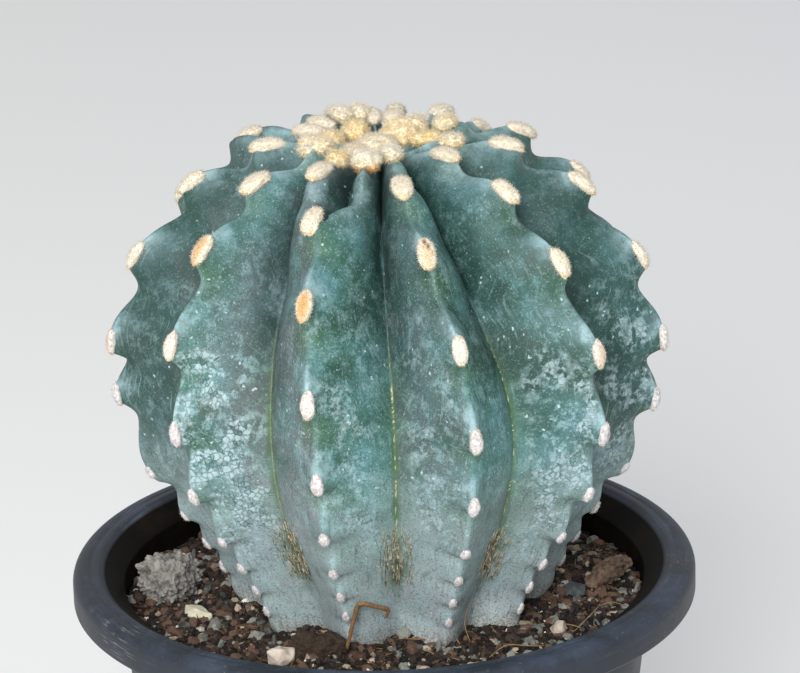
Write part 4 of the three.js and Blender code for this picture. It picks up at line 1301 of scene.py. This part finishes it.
def grain_forms(name, shapes, splits, finish, seed):
    """A few uneven grains 1 mm long that a scatter repeats, in a collection of their own."""
    forms = bpy.data.collections.new(name)
    points, faces = ball(splits)
    chance = random.Random(seed)
    for i, shape in enumerate(shapes):
        rough = np.array([1 + chance.uniform(-1, 1) * GRAIN_UNEVENNESS for _ in points])
        form = make_piece(f"{name}_{i}", points * 0.5 * shape * rough[:, None], faces, finish)
        form.data.shade_flat()
        bpy.context.scene.collection.objects.unlink(form)
        forms.objects.link(form)
    return forms


def strewn_grains():
    """Strews grains over a surface by chance and leaves the surface out."""
    tree, given = scatter_tree("strewn_grains", {
        "Grains": "Collection", "Grains per mm2": "Float", "Smallest": "Float", "Largest": "Float",
        "Lean": "Float",
    })
    points, turned = chance_places(tree, given, "Grains per mm2")
    chance = add(tree, "FunctionNodeRandomValue", {"Seed": given["Seed"]}, out=1)
    small_mostly = add(tree, "Math", chance, SMALL_GRAINS_MORE, operation="POWER")
    inputs = {"Value": small_mostly, "To Min": given["Smallest"], "To Max": given["Largest"]}
    size = add(tree, "MapRange", inputs)
    inputs = {"Collection": given["Grains"], "Separate Children": True, "Reset Children": True}
    grains = add(tree, "GeometryNodeCollectionInfo", inputs)
    inputs = {
        "Points": points, "Instance": grains, "Pick Instance": True, "Rotation": turned, "Scale": size,
    }
    placed = add(tree, "GeometryNodeInstanceOnPoints", inputs)
    shade = add(tree, "FunctionNodeRandomValue", {"Seed": 7}, out=1)
    inputs = {"Geometry": placed, "Name": "shade", "Value": shade}
    store = {"data_type": "FLOAT", "domain": "INSTANCE"}
    toned = add(tree, "GeometryNodeStoreNamedAttribute", inputs, **store)
    finish_scatter(tree, given, toned)
    return tree


grain_scatter = strewn_grains()
for seed, kind in enumerate(GRIT_KINDS):
    grit_name, dark_tone, light_tone, per_cm2, (smallest, largest), shapes, splits, lean = kind
    grit_finish = stone_finish(grit_name, dark_tone, light_tone)
    grit = make_piece(grit_name, soil_points, soil_surface, grit_finish)
    forms = grain_forms(f"{grit_name}_forms", shapes, splits, grit_finish, seed)
    scatter(grit, grain_scatter, {
        "Grains": forms, "Grains per mm2": per_cm2 / 100, "Smallest": smallest, "Largest": largest,
        "Lean": lean, "Finish": grit_finish, "Seed": seed,
    })
    for form in list(forms.objects):
        bpy.data.objects.remove(form)
    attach(grit, "root")
    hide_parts("soil")

# The dry twig
# A flat, dry bit of twig with two kinks, orange-brown and darker at its broken end. It stands in
# the soil and leans on the foot of the front rib.
TWIG_ROUTE = np.array([
    (-9, -40.8, -7), (-6.2, -43, 4.6), (-4.6, -43.4, 5.4), (0.8, -40.2, 2.4), (0.2, -39.6, 0.2),
])
TWIG_RADIUS = 0.55
TWIG_PULL = 0.2
TUBE_CORNERS = 10
TUBE_TAPER = 0.3
TUBE_UNEVENNESS = 0.18


def one_shade(piece, shade):
    """Gives a whole piece one shade of its finish."""
    set_values(piece.data, "shade", np.full(len(piece.data.vertices), shade))


def tube(name, route, radius, finish, steps=60, pull=0.5, flatness=1.0):
    """A closed, uneven stalk along a smooth route through points in mm, thinner at both ends."""
    shares = np.linspace(0, 1, steps)
    line = spline(np.asarray(route, float), shares, pull)
    ahead = np.gradient(line, axis=0)
    ahead /= np.linalg.norm(ahead, axis=1, keepdims=True)
    sideways = np.cross(ahead[0], (0.3, 0.9, 0.1))
    rings = []
    for i, (middle, direction) in enumerate(zip(line, ahead)):
        sideways = sideways - direction * (sideways @ direction)
        sideways /= np.linalg.norm(sideways)
        upright = np.cross(direction, sideways)
        end = 1 - TUBE_TAPER * abs(2 * shares[i] - 1) ** 3
        bumps = 1 + TUBE_UNEVENNESS * noise.noise(Vector(middle) * 0.9)
        angles = -2 * math.pi * np.arange(TUBE_CORNERS) / TUBE_CORNERS
        ring = np.cos(angles)[:, None] * sideways + flatness * np.sin(angles)[:, None] * upright
        rings.append(middle + ring * radius * end * bumps)
    return make_piece(name, np.concatenate(rings), stacked_faces(steps, TUBE_CORNERS), finish)


# Dry wood: orange-brown with darker stretches, a little polished
dry_wood = stone_finish("dry_wood", "#32200f", "#b38a5e", 0.75, 0.8, 0.3)
twig_route = TWIG_ROUTE + (0, 0, RIM_HEIGHT)
twig = tube("dry_twig_piece", twig_route, TWIG_RADIUS, dry_wood, pull=TWIG_PULL, flatness=0.75)
one_shade(twig, 0.4)
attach(twig, "root")
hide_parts("dry_twig")

# The roots and the clod
# Thin dead roots, tan and springy, lie over the grit at the right, and a clod of fibrous peat from
# the cactus's first pot lies at the front left.
ROOTS = (
    ((44.6, -27.7, -9.5), (48.4, -23.3, -7.6), (51.1, -17.5, -7.4), (50.6, -13.2, -9.4)),
    ((51, -18, -7.5), (54, -16.6, -7.2), (57.2, -14.8, -9)),
    ((38, -30, -9.4), (42, -27.8, -7.8), (46, -28, -8.6)),
    ((24, -42.5, -9.2), (28, -40, -7.4), (33, -40, -7.6), (37, -37, -9)),
    ((-17, -42, -6.8), (-13, -37, -5.6), (-7, -35, -8)),
    ((19.8, -34, -9), (18.6, -33, -4.4), (20, -34, 0.5), (22.5, -36, 1.6)),
)
ROOT_RADIUS = 0.12
CLOD_PLACE = (-15.8, -39.8, -6.6)
CLOD_HALF = (6.8, 4.0, 3.4)
CLOD_LUMPS = ((3.5, 1.8), (1.2, 1.2), (0.5, 0.5))

# Dead roots: tan bark with brown stretches, dull
root_bark = stone_finish("dead_root_bark", "#3d3022", "#b19a76", 0.85, 0.8, 0.1)
for number, route in enumerate(ROOTS):
    root_route = np.array(route) + (0, 0, RIM_HEIGHT)
    dead_root = tube(f"dead_root_{number}", root_route, ROOT_RADIUS, root_bark, steps=30)
    one_shade(dead_root, 0.5)
    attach(dead_root, "root")
    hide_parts("soil")

# Peat: dark brown, matt and crumbly
peat = stone_finish("fibrous_peat", "#0f0c0a", "#5f4f40", 0.95, 0.5, 1.0)
ball_points, ball_faces = ball(5)
clod_points = ball_points * CLOD_HALF + CLOD_PLACE + (0, 0, RIM_HEIGHT)
clod = make_piece("peat_clod", clod_points, ball_faces, peat)
lump(clod, CLOD_LUMPS)
one_shade(clod, 0.4)
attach(clod, "root")
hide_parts("soil")

# The room
# A pale matt floor that runs out of the view, one large soft light in front, a little to the left
# and above, and a camera where the photograph was taken from.
CAMERA_ELEVATION = 19.1
CAMERA_ROLL = -1.46
CAMERA_DISTANCE = 900
CAMERA_AIM = (5.23, 0, RIM_HEIGHT + 55.23)
FOCAL_PIXELS = 3805
PHOTO_WIDTH = 800
SENSOR_WIDTH = 36
# The light's place, aim and size in metres, and its power in watts
WINDOW_PLACE = (-0.28, -1.5, 0.98)
WINDOW_AIM = (0, 0, 0.14)
WINDOW_SIZE = 0.7
WINDOW_POWER = 32
ROOM_LIGHT = 0.66
FLOOR_CORNERS = [(-4000, -2500, 0), (4000, -2500, 0), (4000, 6000, 0), (-4000, 6000, 0)]


def pale_floor():
    """Matt white paint with a painted change of light: warmer to the left, a little cooler and darker to the
    right.
    """
    material, tree, shader, place = new_material("pale_painted_floor")
    side = add(tree, "MapRange", add(tree, "SeparateXYZ", place, out="X"), -0.5, 0.5)
    colour = add(tree, "ValToRGB", side, stops=[(0, "#f6f5f3"), (1, "#eef2f4")])
    feed(shader, {"Base Color": colour, "Roughness": 0.9})
    return material


def soft_light(name, place, aim, size, power, colour):
    """A square soft box that faces a point."""
    light = bpy.data.lights.new(name, "AREA")
    light.size = size
    light.energy = power
    light.color = linear(colour)[:3]
    lamp = bpy.data.objects.new(name, light)
    lamp.location = place
    lamp.rotation_euler = (Vector(aim) - Vector(place)).to_track_quat("-Z", "Y").to_euler()
    bpy.context.scene.collection.objects.link(lamp)


floor = make_piece("floor", FLOOR_CORNERS, [(0, 1, 2, 3)], pale_floor())
soft_light("window", WINDOW_PLACE, WINDOW_AIM, WINDOW_SIZE, WINDOW_POWER, "#fffefc")
world = bpy.data.worlds.new("room_light")
world.use_nodes = True
feed(world.node_tree.nodes["Background"], {"Color": linear("#f2f3f5"), "Strength": ROOM_LIGHT})
bpy.context.scene.world = world
bpy.context.scene.view_settings.view_transform = "Standard"

camera = bpy.data.objects.new("camera", bpy.data.cameras.new("camera"))
tilt = math.radians(CAMERA_ELEVATION)
roll = math.radians(CAMERA_ROLL)
back = Vector((0, -math.cos(tilt), math.sin(tilt)))
right = Vector((1, 0, 0))
up = back.cross(right)
rolled_right = math.cos(roll) * right + math.sin(roll) * up
rolled_up = math.cos(roll) * up - math.sin(roll) * right
turned = Matrix((rolled_right, rolled_up, back)).transposed().to_4x4()
camera.matrix_world = Matrix.Translation(Vector(CAMERA_AIM) * MM + back * CAMERA_DISTANCE * MM) @ turned
camera.data.sensor_width = SENSOR_WIDTH
camera.data.lens = FOCAL_PIXELS * SENSOR_WIDTH / PHOTO_WIDTH
bpy.context.scene.collection.objects.link(camera)
bpy.context.scene.camera = camera
